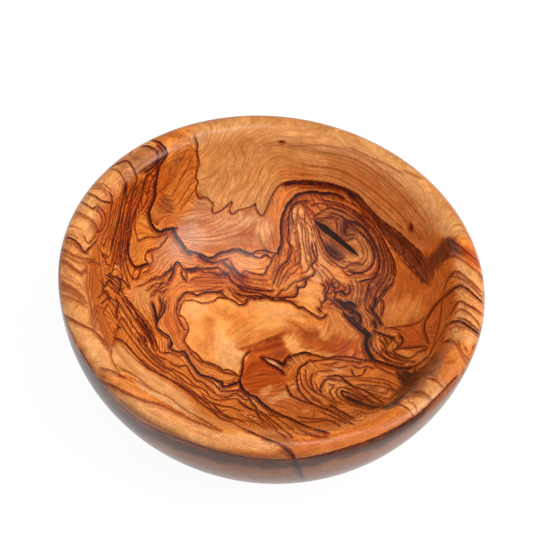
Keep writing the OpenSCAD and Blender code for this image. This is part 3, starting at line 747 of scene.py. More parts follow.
LIP_TONES = (
    ("pale", 5, 0.7, 0.12, 150, 138, 120, 160, 90, 185, 68, 225, 60, 270, 60, 310, 66, 330, 80, 345, 88,
     352, 100, 340, 94, 318, 88, 300, 86, 265, 98, 235, 112, 205, 126, 184, 135, 175, 146, 160, 158, 150),
    ("brown", 5, 0.75, 0.3, 118, 162, 128, 156, 142, 146, 152, 147, 159, 153, 157, 162, 148, 168, 138, 176,
     132, 167, 126, 162),
    ("brown", 6, 0.65, 0.3, 114, 170, 124, 162, 134, 172, 136, 182, 128, 186, 118, 182),
    ("amber", 8, 0.7, 0.3, 118, 190, 108, 204, 98, 222, 92, 238, 104, 240, 111, 226, 115, 208),
    ("tan", 8, 0.6, 0.2, 80, 198, 98, 192, 106, 198, 96, 214, 84, 212),
    ("rust", 8, 0.55, 0.4, 101, 196, 112, 188, 116, 200, 110, 216, 104, 232, 96, 238, 93, 226, 96, 210),
    ("pale", 4, 0.85, 0.05, 64, 316, 78, 324, 92, 331, 104, 346, 112, 356, 122, 372, 112, 376, 100, 372, 88,
     358, 76, 340),
    ("orange", 5, 0.8, 0.15, 100, 374, 116, 376, 130, 384, 150, 396, 160, 404, 140, 400, 118, 388, 102,
     381),
    ("peach", 5, 0.9, 0.15, 112, 344, 122, 346, 134, 358, 150, 372, 172, 386, 190, 400, 206, 414, 224, 426,
     240, 432, 214, 428, 196, 416, 172, 400, 150, 388, 134, 376, 118, 366, 112, 356),
    # Painted highlight: a whitish band on the near lip at the left
    ("peach", 4, 0.9, 0.1, 134, 382, 150, 388, 172, 399, 190, 411, 204, 420, 188, 414, 166, 402, 146, 392),
    ("peach", 4, 0.7, 0.15, 104, 384, 118, 390, 140, 400, 166, 408, 196, 421, 222, 431, 250, 434, 276, 440,
     284, 448, 262, 454, 230, 450, 200, 444, 170, 430, 140, 414, 118, 400),
    ("amber", 5, 0.85, 0.15, 284, 448, 300, 440, 330, 434, 352, 428, 380, 416, 400, 406, 412, 416, 400, 424,
     372, 438, 340, 448, 310, 454, 296, 456),
    ("tan", 5, 0.9, 0.05, 400, 406, 412, 398, 428, 382, 444, 362, 452, 350, 466, 356, 460, 372, 446, 392,
     430, 406, 414, 418),
    # Painted shade: a brown band on the inner slope of the lip at the near right, where it turns from the
    # light
    ("brown", 9, 0.85, 0.3, 452, 334, 444, 346, 434, 360, 424, 374, 412, 388, 402, 400, 410, 402, 424, 390,
     438, 375, 450, 360, 457, 344),
    ("amber", 8, 0.8, 0.1, 436, 376, 446, 358, 454, 350, 462, 362, 454, 380, 444, 388),
    ("ochre", 6, 0.8, 0.1, 448, 344, 458, 342, 470, 350, 474, 364, 462, 374, 452, 360),
    ("rust", 6, 0.55, 0.2, 440, 352, 448, 345, 454, 350, 450, 361, 443, 362),
    ("pale", 4, 0.7, 0.1, 455, 258, 466, 262, 482, 278, 486, 300, 484, 320, 480, 340, 470, 346, 456, 340,
     450, 330, 456, 318, 460, 304, 456, 290, 458, 276),
    ("brown", 6, 0.75, 0.3, 258, 433, 276, 433, 292, 437, 294, 446, 284, 448, 266, 443),
    ("amber", 6, 0.5, 0.2, 230, 448, 262, 448, 284, 450, 262, 458, 236, 456),
    ("ochre", 6, 0.6, 0.2, 114, 360, 128, 362, 138, 374, 128, 376, 116, 370),
    ("ochre", 5, 0.9, 0.15, 192, 405, 210, 414, 230, 427, 246, 433, 230, 432, 212, 427, 198, 417),
    ("amber", 6, 0.5, 0.2, 466, 318, 478, 322, 482, 332, 472, 332),
    ("peach", 6, 0.3, 0.05, 462, 262, 478, 276, 482, 290, 470, 284, 462, 274),
    # Painted shade: brown and umber laid over the outer wall and along the girth under the lip, where the
    # wall turns away from the light
    ("brown", 6, 0.6, 0.15, 76, 345, 88, 360, 100, 378, 118, 398, 140, 414, 170, 430, 200, 444, 232, 451,
     264, 455, 284, 449, 310, 455, 340, 449, 372, 439, 400, 425, 430, 407, 448, 392, 462, 374, 474, 364,
     480, 345, 490, 350, 470, 380, 440, 410, 400, 435, 340, 458, 300, 464, 262, 464, 220, 458, 180, 442,
     150, 428, 120, 408, 98, 386, 80, 360),
    ("brown", 4, 0.7, 0.2, 56, 316, 74, 349, 88, 369, 108, 399, 138, 424, 168, 438, 200, 452, 232, 459, 264,
     463, 300, 462, 340, 454, 380, 439, 420, 416, 455, 382, 472, 360, 490, 380, 440, 440, 360, 490, 260,
     495, 150, 470, 90, 420, 50, 350),
    ("umber", 4, 0.9, 0.2, 62, 320, 76, 347, 90, 369, 100, 385, 120, 408, 140, 424, 160, 434, 180, 442, 220,
     454, 260, 461, 300, 461, 340, 452, 380, 438, 414, 418, 434, 402, 418, 424, 384, 446, 342, 460, 300,
     469, 260, 469, 218, 462, 176, 450, 136, 432, 114, 414, 92, 388, 70, 352, 58, 326),
)
TONES = FAR_TONES + KNOT_TONES + LEFT_TONES + HEART_TONES + SWIRL_TONES + RIGHT_TONES + LIP_TONES

# Wood that the photograph doesn't show takes a mean of the tones that it does, from one point in so many.
# So many millimetres away from shown wood it is plain.
# Where hidden wood lies near the outer wall, this mean carries its painted shade round the dish
TONE_SHARE = 40
TONE_REACH = 40.0
# How closely the rings crowd where no tone lies, and in plain hidden wood
OPEN_CROWDING = 0.8
HIDDEN_CROWDING = 0.6
# The edges of the tones slide along the fibres, ring by ring, and stray, by about so many millimetres.
# Edges of fewer pixels than LOOSE_EDGE move less.
TONE_SLIDE = 3.0
TONE_STRAY = 1.0
LOOSE_EDGE = 8
# Seed of the noise, so that each run gives the same wood
NOISE_SEED = 1
# Lines that run close together lie in different layers
LAYERS = 12
FLECK_LAYERS = 2
# A layer knows its lines up to so many millimetres to each side, and the ends of lines taper over so many
LINE_REACH = 2.2
LINE_TAPER = 2.2
# Half width that a point keeps where no line is near
FAR_HALF = 0.3
# The higher, the more freely the rings may miss the growth lines
RING_EASE = 1.5
# Drawn lines run on past their ends by so many pixels
LINE_PAST = 4.0
# The section turns round a circle of this radius and is set in by as much, so that it closes on the axis
SPINDLE = 1 * MM
# Points closer than this, in metres, become one
HAIR = 1e-6
# Edges that turn by more than this stay sharp in the shading
CREASE = math.radians(40)
# The camera sees a point if its ray ends this close to it
SIGHT = 0.5 * MM
# Points that are worked on at a time
BATCH = 3000
# Direction of the brightest part of the sky, towards the camera, and the sky's strength near the floor
SKY_TOP = (0.0, -0.25, 0.968)
SKY_FOOT = 0.42
# Direction of a dark flag behind the dish, which keeps the sky's gleam off the floor of the dish, and the
# share of the sky that it lets by
FLAG_WAY = (0.0, 0.53, 0.848)
FLAG_SHARE = 0.15
# Light that the paper adds for the camera, and in the gloss of the dish
PAPER_WHITE = 0.93
PAPER_GLEAM = 0.6
# Width of the lamps in metres, and their directions in degrees round from +X and up from the floor
TOP_LAMP = (0.36, -24, 72)
SIDE_LAMP = (0.45, -12, 36)


def length(name, description, default, low):
    """Length for the sidebar, in metres."""
    return bpy.props.FloatProperty(
        name=name, description=description, default=default, min=low, unit="LENGTH", subtype="DISTANCE")


def angle(name, description, degrees, low=-180, high=180):
    """Angle for the sidebar, given in degrees."""
    return bpy.props.FloatProperty(
        name=name, description=description, default=math.radians(degrees), min=math.radians(low),
        max=math.radians(high), unit="ROTATION", subtype="ANGLE")


def colour(name, description, default):
    """Colour for the sidebar, in linear light."""
    return bpy.props.FloatVectorProperty(
        name=name, description=description, default=default, size=3, min=0, max=1, subtype="COLOR")


class DishSizes(bpy.types.PropertyGroup):
    """Sizes of the dish, the same as in the part's source."""

    rim_diameter: length(
        "Rim diameter", "Widest diameter, just under the lip", BOWL_HIGH[0] - BOWL_LOW[0], 50 * MM)
    height: length("Height", "From the table to the top of the lip", BOWL_HIGH[2], 20 * MM)
    base_diameter: length("Base diameter", "Where the outer wall would meet the table", 78 * MM, 20 * MM)
    heel_radius: length("Heel radius", "Softened edge round the base", 3 * MM, 0.5 * MM)
    lip_outer_radius: length("Lip outer radius", "Rounding of the lip on its outer side", 4.5 * MM, MM)
    lip_inner_radius: length("Lip inner radius", "Rounding of the lip on its inner side", 6 * MM, MM)
    wall_lean: angle(
        "Wall lean", "Lean of the inner wall away from upright where it leaves the lip", 8, low=0, high=28)
    floor_thickness: length("Floor thickness", "Wood under the foot of the inner wall", 10 * MM, 2 * MM)
    dish_radius: length("Dish radius", "Radius of the shallow dishing of the floor", 200 * MM, 80 * MM)
    check_azimuth: angle("Check direction", "Direction of the check's middle round the dish, from +X", 63.5)
    check_rise: angle("Check rise", "Place of the check's middle up the arc of the inner wall", 45)
    check_tilt: angle("Check tilt", "Slope of the check along the wall", 9)
    check_length: length("Check length", "Length of the check from tip to tip", 22.5 * MM, 5 * MM)
    check_width: length("Check width", "Greatest width of the check", 2.5 * MM, 0.5 * MM)
    check_shoulder: length("Check shoulder", "Distance of the greatest width from the upper tip", 5 * MM, MM)
    check_tail_width: length(
        "Check tail width", "Width of the check where its tail starts", 1.7 * MM, 0.5 * MM)
    check_tail: length("Check tail", "Length of the tail that runs out to the lower tip", 4.5 * MM, MM)
    check_depth: length("Check depth", "Depth of the check under the face of the wall", 4 * MM, MM)
    segments: bpy.props.IntProperty(name="Segments", description="Faces round the dish", default=480, min=48)
    ring_step: length(
        "Ring step", "Distance between rings of faces where the figure shows", 0.64 * MM, 0.2 * MM)
    outer_step: length(
        "Outer step", "Distance between rings of faces outside and under the dish", 1.5 * MM, 0.2 * MM)


class WoodTones(bpy.types.PropertyGroup):
    """Colours of the wood and of the filler."""

    # Peach is also laid as a painted highlight on the near lip, and as painted glints among the flecks
    peach: colour("Peach", "Palest heart, and flecks", linear("#FFBE7C"))
    honey: colour("Honey", "Pale heart", linear("#FFAE5C"))
    pale: colour("Pale", "Pale bands", linear("#F0A866"))
    tan: colour("Tan", "Sapwood", linear("#DC9A5A"))
    pink: colour("Pink", "Sapwood under the seam", linear("#CE8858"))
    ochre: colour("Ochre", "Golden sapwood", linear("#DE8838"))
    orange: colour("Orange", "Warm heartwood", linear("#E6873A"))
    amber: colour("Amber", "Body of the heartwood", linear("#CE6E28"))
    rust: colour("Rust", "Dark patches", linear("#C25616"))
    # Brown and umber are also laid as painted shade on the outer wall and under the near lip
    brown: colour("Brown", "Brown patches round the knot and outside", linear("#9C5A34"))
    redbrown: colour("Red-brown", "Bands beside the knot", linear("#7E3A20"))
    umber: colour("Umber", "Dark bands", linear("#55301E"))
    soot: colour("Soot", "Blackest patches", linear("#221410"))
    line: colour("Growth lines", "Dark growth lines", linear("#24100A"))
    shade: colour("Shade", "How the wood is coloured beside a growth line", (0.42, 0.26, 0.18))
    stain: colour("Stain", "How a faint growth line colours the wood", (0.28, 0.11, 0.06))
    filler: colour("Filler", "Filler in the check", linear("#2E211D"))


class StageLook(bpy.types.PropertyGroup):
    """Floor and light."""

    floor_colour: colour("Floor", "Colour of the floor", linear("#5C5A58"))
    floor_width: length("Floor width", "Side of the square floor", 6.0, 1.0)
    sky_strength: bpy.props.FloatProperty(
        name="Sky strength", description="Even light from overhead", default=1.14, min=0.0)
    top_power: bpy.props.FloatProperty(
        name="Top light", description="Power of the soft lamp overhead", default=1.5, min=0.0, unit="POWER")
    side_power: bpy.props.FloatProperty(
        name="Side light", description="Power of the soft lamp at the right", default=2.9,
        min=0.0, unit="POWER")


def add(tree, kind, inputs=(), **settings):
    """Adds a node, sets it up and fills its inputs, linking a node by its first live output."""
    made = tree.nodes.new(kind)
    for name, value in settings.items():
        setattr(made, name, value)
    for key, value in dict(inputs).items():
        if isinstance(value, bpy.types.Node):
            value = next(socket for socket in value.outputs if socket.enabled)
        if isinstance(value, bpy.types.NodeSocket):
            tree.links.new(value, made.inputs[key])
        else:
            made.inputs[key].default_value = value
    return made


def photo_camera():
    """Place and turn of the photograph's camera, as a matrix."""
    rim_middle = Vector((0, 0, BOWL_HIGH[2] - bpy.context.scene.dish_sizes.lip_outer_radius))
    away = Vector((0, -math.cos(VIEW_ELEVATION), math.sin(VIEW_ELEVATION)))
    level = Matrix((Vector((1, 0, 0)), away.cross(Vector((1, 0, 0))), away)).transposed()
    turn = level @ Matrix.Rotation(VIEW_ROLL, 3, "Z")
    aim = turn @ Vector((-VIEW_AIM_LEFT, VIEW_AIM_UP, 0))
    place = Matrix.Translation(rim_middle + VIEW_DISTANCE * away)
    look = (rim_middle + aim - place.translation).to_track_quat("-Z", "Y").to_matrix()
    spin = (look.transposed() @ turn).to_euler().z
    return place @ (look @ Matrix.Rotation(spin, 3, "Z")).to_4x4()


class PhotoView:
    """Turns pixels of the photograph into rays, and points on the dish, in millimetres, into pixels."""

    def __init__(self):
        matrix = np.array(photo_camera())
        self.turn = matrix[:3, :3]
        self.place = matrix[:3, 3] / MM
        self.focal = VIEW_LENS / SENSOR_WIDTH * PHOTO_SIDE

    def rays(self, pixels):
        """Unit directions from the camera through pixels."""
        across = (pixels[:, 0] - PHOTO_SIDE / 2) / self.focal
        down = (pixels[:, 1] - PHOTO_SIDE / 2) / self.focal
        local = np.column_stack([across, -down, -np.ones(len(pixels))])
        world = local @ self.turn.T
        return world / np.linalg.norm(world, axis=1)[:, None]

    def pixels(self, points):
        """Pixels at which points are seen."""
        local = (points - self.place) @ self.turn
        depth = -local[:, 2]
        return np.column_stack([PHOTO_SIDE / 2 + self.focal * local[:, 0] / depth,
                                PHOTO_SIDE / 2 - self.focal * local[:, 1] / depth])


def profile_arcs(sizes):
    """Arcs of the half section, from the floor over the lip to the heel: centre, radius, start, sweep."""
    rim = sizes.rim_diameter / 2
    girth = sizes.height - sizes.lip_outer_radius
    batter = rim - sizes.base_diameter / 2
    outer = (batter ** 2 + girth ** 2) / (2 * batter)
    outer_middle = rim - outer
    heel = sizes.heel_radius
    heel_middle = outer_middle + math.sqrt((outer - heel) ** 2 - (girth - heel) ** 2)
    crest = rim - sizes.lip_outer_radius
    lip_middle = sizes.height - sizes.lip_inner_radius
    wall_turn = math.pi / 2 - sizes.wall_lean
    top_radius = crest - sizes.lip_inner_radius * math.sin(wall_turn)
    top_height = lip_middle + sizes.lip_inner_radius * math.cos(wall_turn)
    wall = (top_height - sizes.floor_thickness) / (1 - math.cos(wall_turn))
    wall_middle = Vector((top_radius - wall * math.sin(wall_turn), top_height + wall * math.cos(wall_turn)))
    dish_turn = math.asin(wall_middle.x / (sizes.dish_radius - wall))
    dish_height = wall_middle.y + (sizes.dish_radius - wall) * math.cos(dish_turn)
    down = -math.pi / 2
    heel_turn = math.atan2(heel - girth, heel_middle - outer_middle)
    return {
        "Floor": ((0, dish_height), sizes.dish_radius, down, dish_turn),
        "Inner wall": (tuple(wall_middle), wall, down + dish_turn, wall_turn - dish_turn),
        "Lip inside": ((crest, lip_middle), sizes.lip_inner_radius, math.pi - sizes.wall_lean, -wall_turn),
        "Lip outside": ((crest, girth), sizes.lip_outer_radius, math.pi / 2, -math.pi / 2),
        "Outer wall": ((outer_middle, girth), outer, 0.0, heel_turn),
        "Heel": ((heel_middle, heel), heel, heel_turn, down - heel_turn),
    }


def turning_tree(arcs):
    """Geometry Nodes tree that turns arcs of a half section, and a flat base, into a closed dish."""
    tree = bpy.data.node_groups.new("Turned dish", "GeometryNodeTree")
    sockets = {}
    kinds = (("centre", "NodeSocketVector"), ("radius", "NodeSocketFloat"), ("start", "NodeSocketFloat"),
             ("sweep", "NodeSocketFloat"), ("rings", "NodeSocketInt"))
    for arc in arcs:
        for word, kind in kinds:
            name = f"{arc} {word}"
            sockets[name] = tree.interface.new_socket(name=name, in_out="INPUT", socket_type=kind).identifier
    for name, kind in (("Base edge", "NodeSocketVector"), ("Base rings", "NodeSocketInt"),
                       ("Segments", "NodeSocketInt"), ("Spindle", "NodeSocketFloat"),
                       ("Wood", "NodeSocketMaterial")):
        sockets[name] = tree.interface.new_socket(name=name, in_out="INPUT", socket_type=kind).identifier
    tree.interface.new_socket(name="Dish", in_out="OUTPUT", socket_type="NodeSocketGeometry")
    given = add(tree, "NodeGroupInput").outputs
    section = add(tree, "GeometryNodeJoinGeometry")
    for arc in arcs:
        bend = add(tree, "GeometryNodeCurveArc", {
            "Resolution": given[f"{arc} rings"], "Radius": given[f"{arc} radius"],
            "Start Angle": given[f"{arc} start"], "Sweep Angle": given[f"{arc} sweep"]}, mode="RADIUS")
        placed = add(tree, "GeometryNodeTransform", {
            "Geometry": bend, "Translation": given[f"{arc} centre"]})
        tree.links.new(placed.outputs["Geometry"], section.inputs["Geometry"])
    base = add(tree, "GeometryNodeCurvePrimitiveLine", {
        "Start": given["Base edge"], "End": (0, 0, 0)}, mode="POINTS")
    base_rings = add(tree, "GeometryNodeResampleCurve", {"Curve": base, "Count": given["Base rings"]})
    tree.links.new(base_rings.outputs["Curve"], section.inputs["Geometry"])
    inset = add(tree, "ShaderNodeMath", {0: given["Spindle"], 1: -1.0}, operation="MULTIPLY")
    shift = add(tree, "ShaderNodeCombineXYZ", {"X": inset})
    stood = add(tree, "GeometryNodeTransform", {
        "Geometry": section, "Translation": shift, "Rotation": (math.pi, 0, 0)})
    lathe = add(tree, "GeometryNodeCurvePrimitiveCircle", {
        "Resolution": given["Segments"], "Radius": given["Spindle"]})
    turned = add(tree, "GeometryNodeCurveToMesh", {"Curve": lathe, "Profile Curve": stood})
    closed = add(tree, "GeometryNodeMergeByDistance", {"Geometry": turned, "Distance": 2 * HAIR})
    real = add(tree, "GeometryNodeRealizeInstances", {"Geometry": closed})
    dressed = add(tree, "GeometryNodeSetMaterial", {"Geometry": real, "Material": given["Wood"]})
    add(tree, "NodeGroupOutput", {"Dish": dressed})
    return tree, sockets


def check_wedge(sizes, arcs):
    """Prism of the check: pointed at both tips, widest at its shoulder, square to the wall at its middle."""
    past = 5 * MM
    half = sizes.check_length / 2
    outline = [(0, half), (sizes.check_width / 2, half - sizes.check_shoulder),
               (sizes.check_tail_width / 2, sizes.check_tail - half), (0, -half),
               (-sizes.check_tail_width / 2, sizes.check_tail - half),
               (-sizes.check_width / 2, half - sizes.check_shoulder)]
    centre, radius = arcs["Inner wall"][:2]
    out = centre[0] + radius * math.sin(sizes.check_rise)
    on_wall = Vector((out, 0, centre[1] - radius * math.cos(sizes.check_rise)))
    place = (Matrix.Rotation(sizes.check_azimuth, 4, "Z") @ Matrix.Translation(on_wall)
             @ Matrix.Rotation(-sizes.check_rise, 4, "Y") @ Matrix.Translation((0, 0, -sizes.check_depth))
             @ Matrix.Rotation(-sizes.check_tilt, 4, "Z"))
    shape = bmesh.new()
    bottom = shape.faces.new([shape.verts.new((x, y, 0)) for x, y in outline])
    risen = bmesh.ops.extrude_face_region(shape, geom=[bottom])["geom"]
    lifted = [v for v in risen if isinstance(v, bmesh.types.BMVert)]
    bmesh.ops.translate(shape, verts=lifted, vec=(0, 0, sizes.check_depth + past))
    bmesh.ops.transform(shape, verts=shape.verts, matrix=place)
    bmesh.ops.recalc_face_normals(shape, faces=shape.faces)
    mesh = bpy.data.meshes.new("check_wedge")
    shape.to_mesh(mesh)
    shape.free()
    return mesh


def turn_dish(sizes, wood):
    """Turned dish with the check cut out of its wall, as a plain mesh object."""
    arcs = profile_arcs(sizes)
    tree, sockets = turning_tree(arcs)
    dish = bpy.data.objects.new("olive_bowl", bpy.data.meshes.new("olive_bowl"))
    bpy.context.scene.collection.objects.link(dish)
    turning = dish.modifiers.new("Turning", "NODES")
    turning.node_group = tree
    for arc, (centre, radius, start, sweep) in arcs.items():
        step = sizes.outer_step if arc in ("Outer wall", "Heel") else sizes.ring_step
        rings = max(4, math.ceil(abs(sweep) * radius / step) + 1)
        values = {
            "centre": (*centre, 0.0), "radius": radius, "start": start, "sweep": sweep, "rings": rings}
        for word, value in values.items():
            turning[sockets[f"{arc} {word}"]] = value
    base_edge = arcs["Heel"][0][0]
    turning[sockets["Base edge"]] = (base_edge, 0.0, 0.0)
    turning[sockets["Base rings"]] = math.ceil(base_edge / (2 * sizes.outer_step))
    turning[sockets["Segments"]] = sizes.segments
    turning[sockets["Spindle"]] = SPINDLE
    turning[sockets["Wood"]] = wood
    wedge = bpy.data.objects.new("check_wedge", check_wedge(sizes, arcs))
    bpy.context.scene.collection.objects.link(wedge)
    cut = dish.modifiers.new("Check", "BOOLEAN")
    cut.operation = "DIFFERENCE"
    cut.solver = "EXACT"
    cut.object = wedge
    made = bpy.data.meshes.new_from_object(dish.evaluated_get(bpy.context.evaluated_depsgraph_get()))
    dish.modifiers.clear()
    dish.data = made
    made.name = "olive_bowl"
    bpy.data.objects.remove(wedge)
    shape = bmesh.new()
    shape.from_mesh(made)
    bmesh.ops.remove_doubles(shape, verts=shape.verts, dist=HAIR)
    bmesh.ops.recalc_face_normals(shape, faces=shape.faces)
    shape.to_mesh(made)
    shape.free()
    made.shade_smooth()
    made.set_sharp_from_angle(angle=CREASE)
    if not len(made.polygons):
        raise RuntimeError("the dish came out empty")
    return dish


def smooth_path(points, step=1.0, past=0.0):
    """Points about a step apart on a curve that runs smoothly through points and a little past its ends."""
    if past:
        first, last = points[0] - points[1], points[-1] - points[-2]
        points = np.vstack([points[0] + past * first / np.linalg.norm(first), points,
                            points[-1] + past * last / np.linalg.norm(last)])
    ends = np.vstack([2 * points[0] - points[1], points, 2 * points[-1] - points[-2]])
    path = []
    for a, b, c, d in zip(ends, ends[1:], ends[2:], ends[3:]):
        count = max(2, int(np.ceil(np.linalg.norm(c - b) / step)))
        t = np.linspace(0, 1, count, endpoint=False)[:, None]
        square = 2 * a - 5 * b + 4 * c - d
        cube = 3 * b - a - 3 * c + d
        path.append(0.5 * (2 * b + (c - a) * t + square * t ** 2 + cube * t ** 3))
    return np.vstack(path + [points[-1:]])


def lay_on_dish(view, surface, path):
    """Points and outward normals, in millimetres, where the rays through pixels of a path meet the dish."""
    start = Vector(view.place * MM)
    hits = [surface.ray_cast(start, Vector(ray)) for ray in view.rays(path)]
    hits = [hit for hit in hits if hit[0] is not None]
    points = np.array([hit[0] for hit in hits]).reshape(-1, 3) / MM
    normals = np.array([hit[1] for hit in hits]).reshape(-1, 3)
    return points, normals


def ease(x):
    """Smooth step from 0 to 1."""
    x = np.clip(x, 0, 1)
    return x * x * (3 - 2 * x)


def lines_on_dish(view, surface, drawn):
    """Drawn lines laid on the dish: points, sideways directions, half widths and darkness."""
    lines = []
    for width, dark, *bends in drawn:
        path = smooth_path(np.array(bends, float).reshape(-1, 2), past=LINE_PAST)
        points, normals = lay_on_dish(view, surface, path)
        if len(points) < 3:
            continue
        along = np.gradient(points, axis=0)
        side = np.cross(normals, along)
        side /= np.linalg.norm(side, axis=1)[:, None]
        steps = np.linalg.norm(np.diff(points, axis=0), axis=1)
        run = np.concatenate([[0], np.cumsum(steps)])
        taper = ease(run / LINE_TAPER) * ease((run[-1] - run) / LINE_TAPER)
        distance = np.linalg.norm(points - view.place, axis=1)
        half = width / 2 * distance / view.focal
        lines.append({"points": points, "side": side, "half": half, "dark": dark * taper})
    return lines


def layer_lines(lines, count):
    """Shares the lines out over layers, so that lines of one layer lie well apart."""
    layers = [[] for _ in range(count)]
    for line in sorted(lines, key=lambda item: -len(item["points"])):
        gaps = []
        for layer in layers:
            near = [np.min(np.linalg.norm(line["points"][::2, None] - other["points"][None, ::2], axis=2))
                    for other in layer]
            gaps.append(min(near, default=1e3))
        layers[int(np.argmax(np.minimum(gaps, 2 * LINE_REACH)))].append(line)
    return layers


def line_field(layer, points):
    """For each point: signed distance from a layer's nearest line, that line's darkness and half width."""
    field = np.zeros((len(points), 3), np.float32)
    field[:, 0] = LINE_REACH
    field[:, 2] = FAR_HALF
    nearest = np.full(len(points), LINE_REACH)
    for line in layer:
        reach = LINE_REACH + line["half"].max()
        low = line["points"].min(axis=0) - reach
        high = line["points"].max(axis=0) + reach
        close = np.nonzero(np.all((points > low) & (points < high), axis=1))[0]
        if not len(close):
            continue
        away = points[close, None] - line["points"][None]
        far = np.linalg.norm(away, axis=2)
        best = np.argmin(far, axis=1)
        rows = np.arange(len(close))
        edge = far[rows, best]
        take = edge - line["half"][best] < nearest[close]
        rows, best, chosen = rows[take], best[take], close[take]
        nearest[chosen] = edge[take] - line["half"][best]
        reach_left = ease((LINE_REACH - nearest[chosen]) / (0.5 * LINE_REACH))
        field[chosen, 0] = np.einsum("ij,ij->i", away[rows, best], line["side"][best])
        field[chosen, 1] = line["dark"][best] * reach_left
        field[chosen, 2] = line["half"][best]
    return field


def ring_ages(view, surface, lines, points):
    """Age of the wood at points: rings counted from the hearts, bent so that a growth line is one ring."""
    outlines = [smooth_path(np.array(heart, float).reshape(-1, 2), step=4.0) for heart in HEARTS]
    hearts = np.vstack([lay_on_dish(view, surface, outline)[0] for outline in outlines])
    knots, ages = [], []
    for line in lines:
        marks = line["points"][::9]
        out = np.linalg.norm(marks[:, None] - hearts[None], axis=2).min(axis=1)
        knots.append(marks)
        ages.append(np.full(len(marks), out.mean()))
    knots, ages = np.vstack(knots), np.concatenate(ages)
    count = len(knots)
    spread = -np.linalg.norm(knots[:, None] - knots[None], axis=2)
    plane = np.column_stack([np.ones(count), knots])
    system = np.block([[spread + RING_EASE * np.eye(count), plane], [plane.T, np.zeros((4, 4))]])
    weights = np.linalg.solve(system, np.concatenate([ages, np.zeros(4)]))
    found = np.empty(len(points))
    slope = np.empty((len(points), 3))
    for first in range(0, len(points), BATCH):
        some = points[first:first + BATCH]
        away = some[:, None] - knots[None]
        gaps = np.maximum(np.linalg.norm(away, axis=2), 1e-6)
        found[first:first + BATCH] = weights[count] + some @ weights[count + 1:] - gaps @ weights[:count]
        bend = np.einsum("ijk,ij->ik", away, weights[:count] / gaps)
        slope[first:first + BATCH] = weights[count + 1:] - bend
    return found, slope


def soft_patch(pixels, corners, edge):
    """Share of a patch at pixels: 1 inside its corners, 0 outside, with a soft edge of that width."""
    share = np.zeros(len(pixels))
    low = corners.min(axis=0) - edge
    high = corners.max(axis=0) + edge
    close = np.nonzero(np.all((pixels > low) & (pixels < high), axis=1))[0]
    spots = pixels[close]
    inside = np.zeros(len(close), bool)
    gap = np.full(len(close), np.inf)
    for a, b in zip(corners, np.roll(corners, -1, axis=0)):
        run = b - a
        t = np.clip((spots - a) @ run / (run @ run), 0, 1)
        gap = np.minimum(gap, np.linalg.norm(spots - a - t[:, None] * run, axis=1))
        spans = (a[1] > spots[:, 1]) != (b[1] > spots[:, 1])
        with np.errstate(divide="ignore", invalid="ignore"):
            cross = a[0] + (spots[:, 1] - a[1]) * run[0] / run[1]
        inside ^= spans & (spots[:, 0] < cross)
    share[close] = ease(0.5 + np.where(inside, gap, -gap) / edge)
    return share


def seen_by_camera(view, surface, points, normals):
    """True for the points that the photograph shows."""
    eye = Vector(view.place * MM)
    towards = view.place - points
    facing = np.einsum("ij,ij->i", towards, normals) > 0
    seen = np.zeros(len(points), bool)
    for i in np.nonzero(facing)[0]:
        target = Vector(points[i] * MM)
        hit = surface.ray_cast(eye, (target - eye).normalized())[0]
        seen[i] = hit is not None and (hit - target).length < SIGHT
    return seen


def wood_tones(view, points, seen, ages, fibres, colours):
    """Linear colour of the wood at points, with painted shade and highlights, and how closely rings crowd."""
    tones = np.tile(np.array(colours.orange), (len(points), 1))
    crowding = np.full(len(points), OPEN_CROWDING)
    noise.seed_set(NOISE_SEED)
    # The slide changes from ring to ring and slowly along them. The stray comes in waves of 4 and 1.6 mm.
    marks = np.column_stack([ages * 0.8, points[:, :2] * 0.05])
    slide = np.array([noise.noise(Vector(mark)) + 0.5 * noise.noise(Vector(2.1 * mark)) for mark in marks])
    stray = np.array([noise.noise_vector(Vector(p / 4.0)) + 0.6 * noise.noise_vector(Vector(p / 1.6))
                      for p in points])
    plain = view.pixels(points)
    pixels = view.pixels(points + TONE_SLIDE * slide[:, None] * fibres + TONE_STRAY * stray)
    for name, edge, strength, rings, *corners in TONES:
        loose = min(1, edge / LOOSE_EDGE)
        outline = np.array(corners, float).reshape(-1, 2)
        share = strength * soft_patch(plain + loose * (pixels - plain), outline, edge)
        tones = tones * (1 - share[:, None]) + np.array(getattr(colours, name)) * share[:, None]
        crowding = crowding * (1 - share) + rings * share
    shown = np.nonzero(seen)[0][::TONE_SHARE]
    hidden = np.nonzero(~seen)[0]
    looks = np.column_stack([tones, crowding])
    plain_look = np.array([*colours.amber, HIDDEN_CROWDING])
    for some in np.array_split(hidden, max(1, len(hidden) // BATCH)):
        gaps = np.linalg.norm(points[some][:, None] - points[shown][None], axis=2)
        weights = 1 / (gaps ** 2 + 1) ** 2
        near = weights @ looks[shown] / weights.sum(axis=1)[:, None]
        keep = ease(1 - gaps.min(axis=1) / TONE_REACH)[:, None]
        looks[some] = near * keep + plain_look * (1 - keep)
    return looks[:, :3], looks[:, 3]


def vertex_values(mesh, word):
    """Places or normals of a mesh's vertices."""
    values = np.empty(len(mesh.vertices) * 3)
    mesh.vertices.foreach_get(word, values)
    return values.reshape(-1, 3)


def store(mesh, name, kind, word, values):
    """Writes values for the vertices of a mesh as a named attribute."""
    attribute = mesh.attributes.new(name, kind, "POINT")
    attribute.data.foreach_set(word, values.astype(np.float32).ravel())


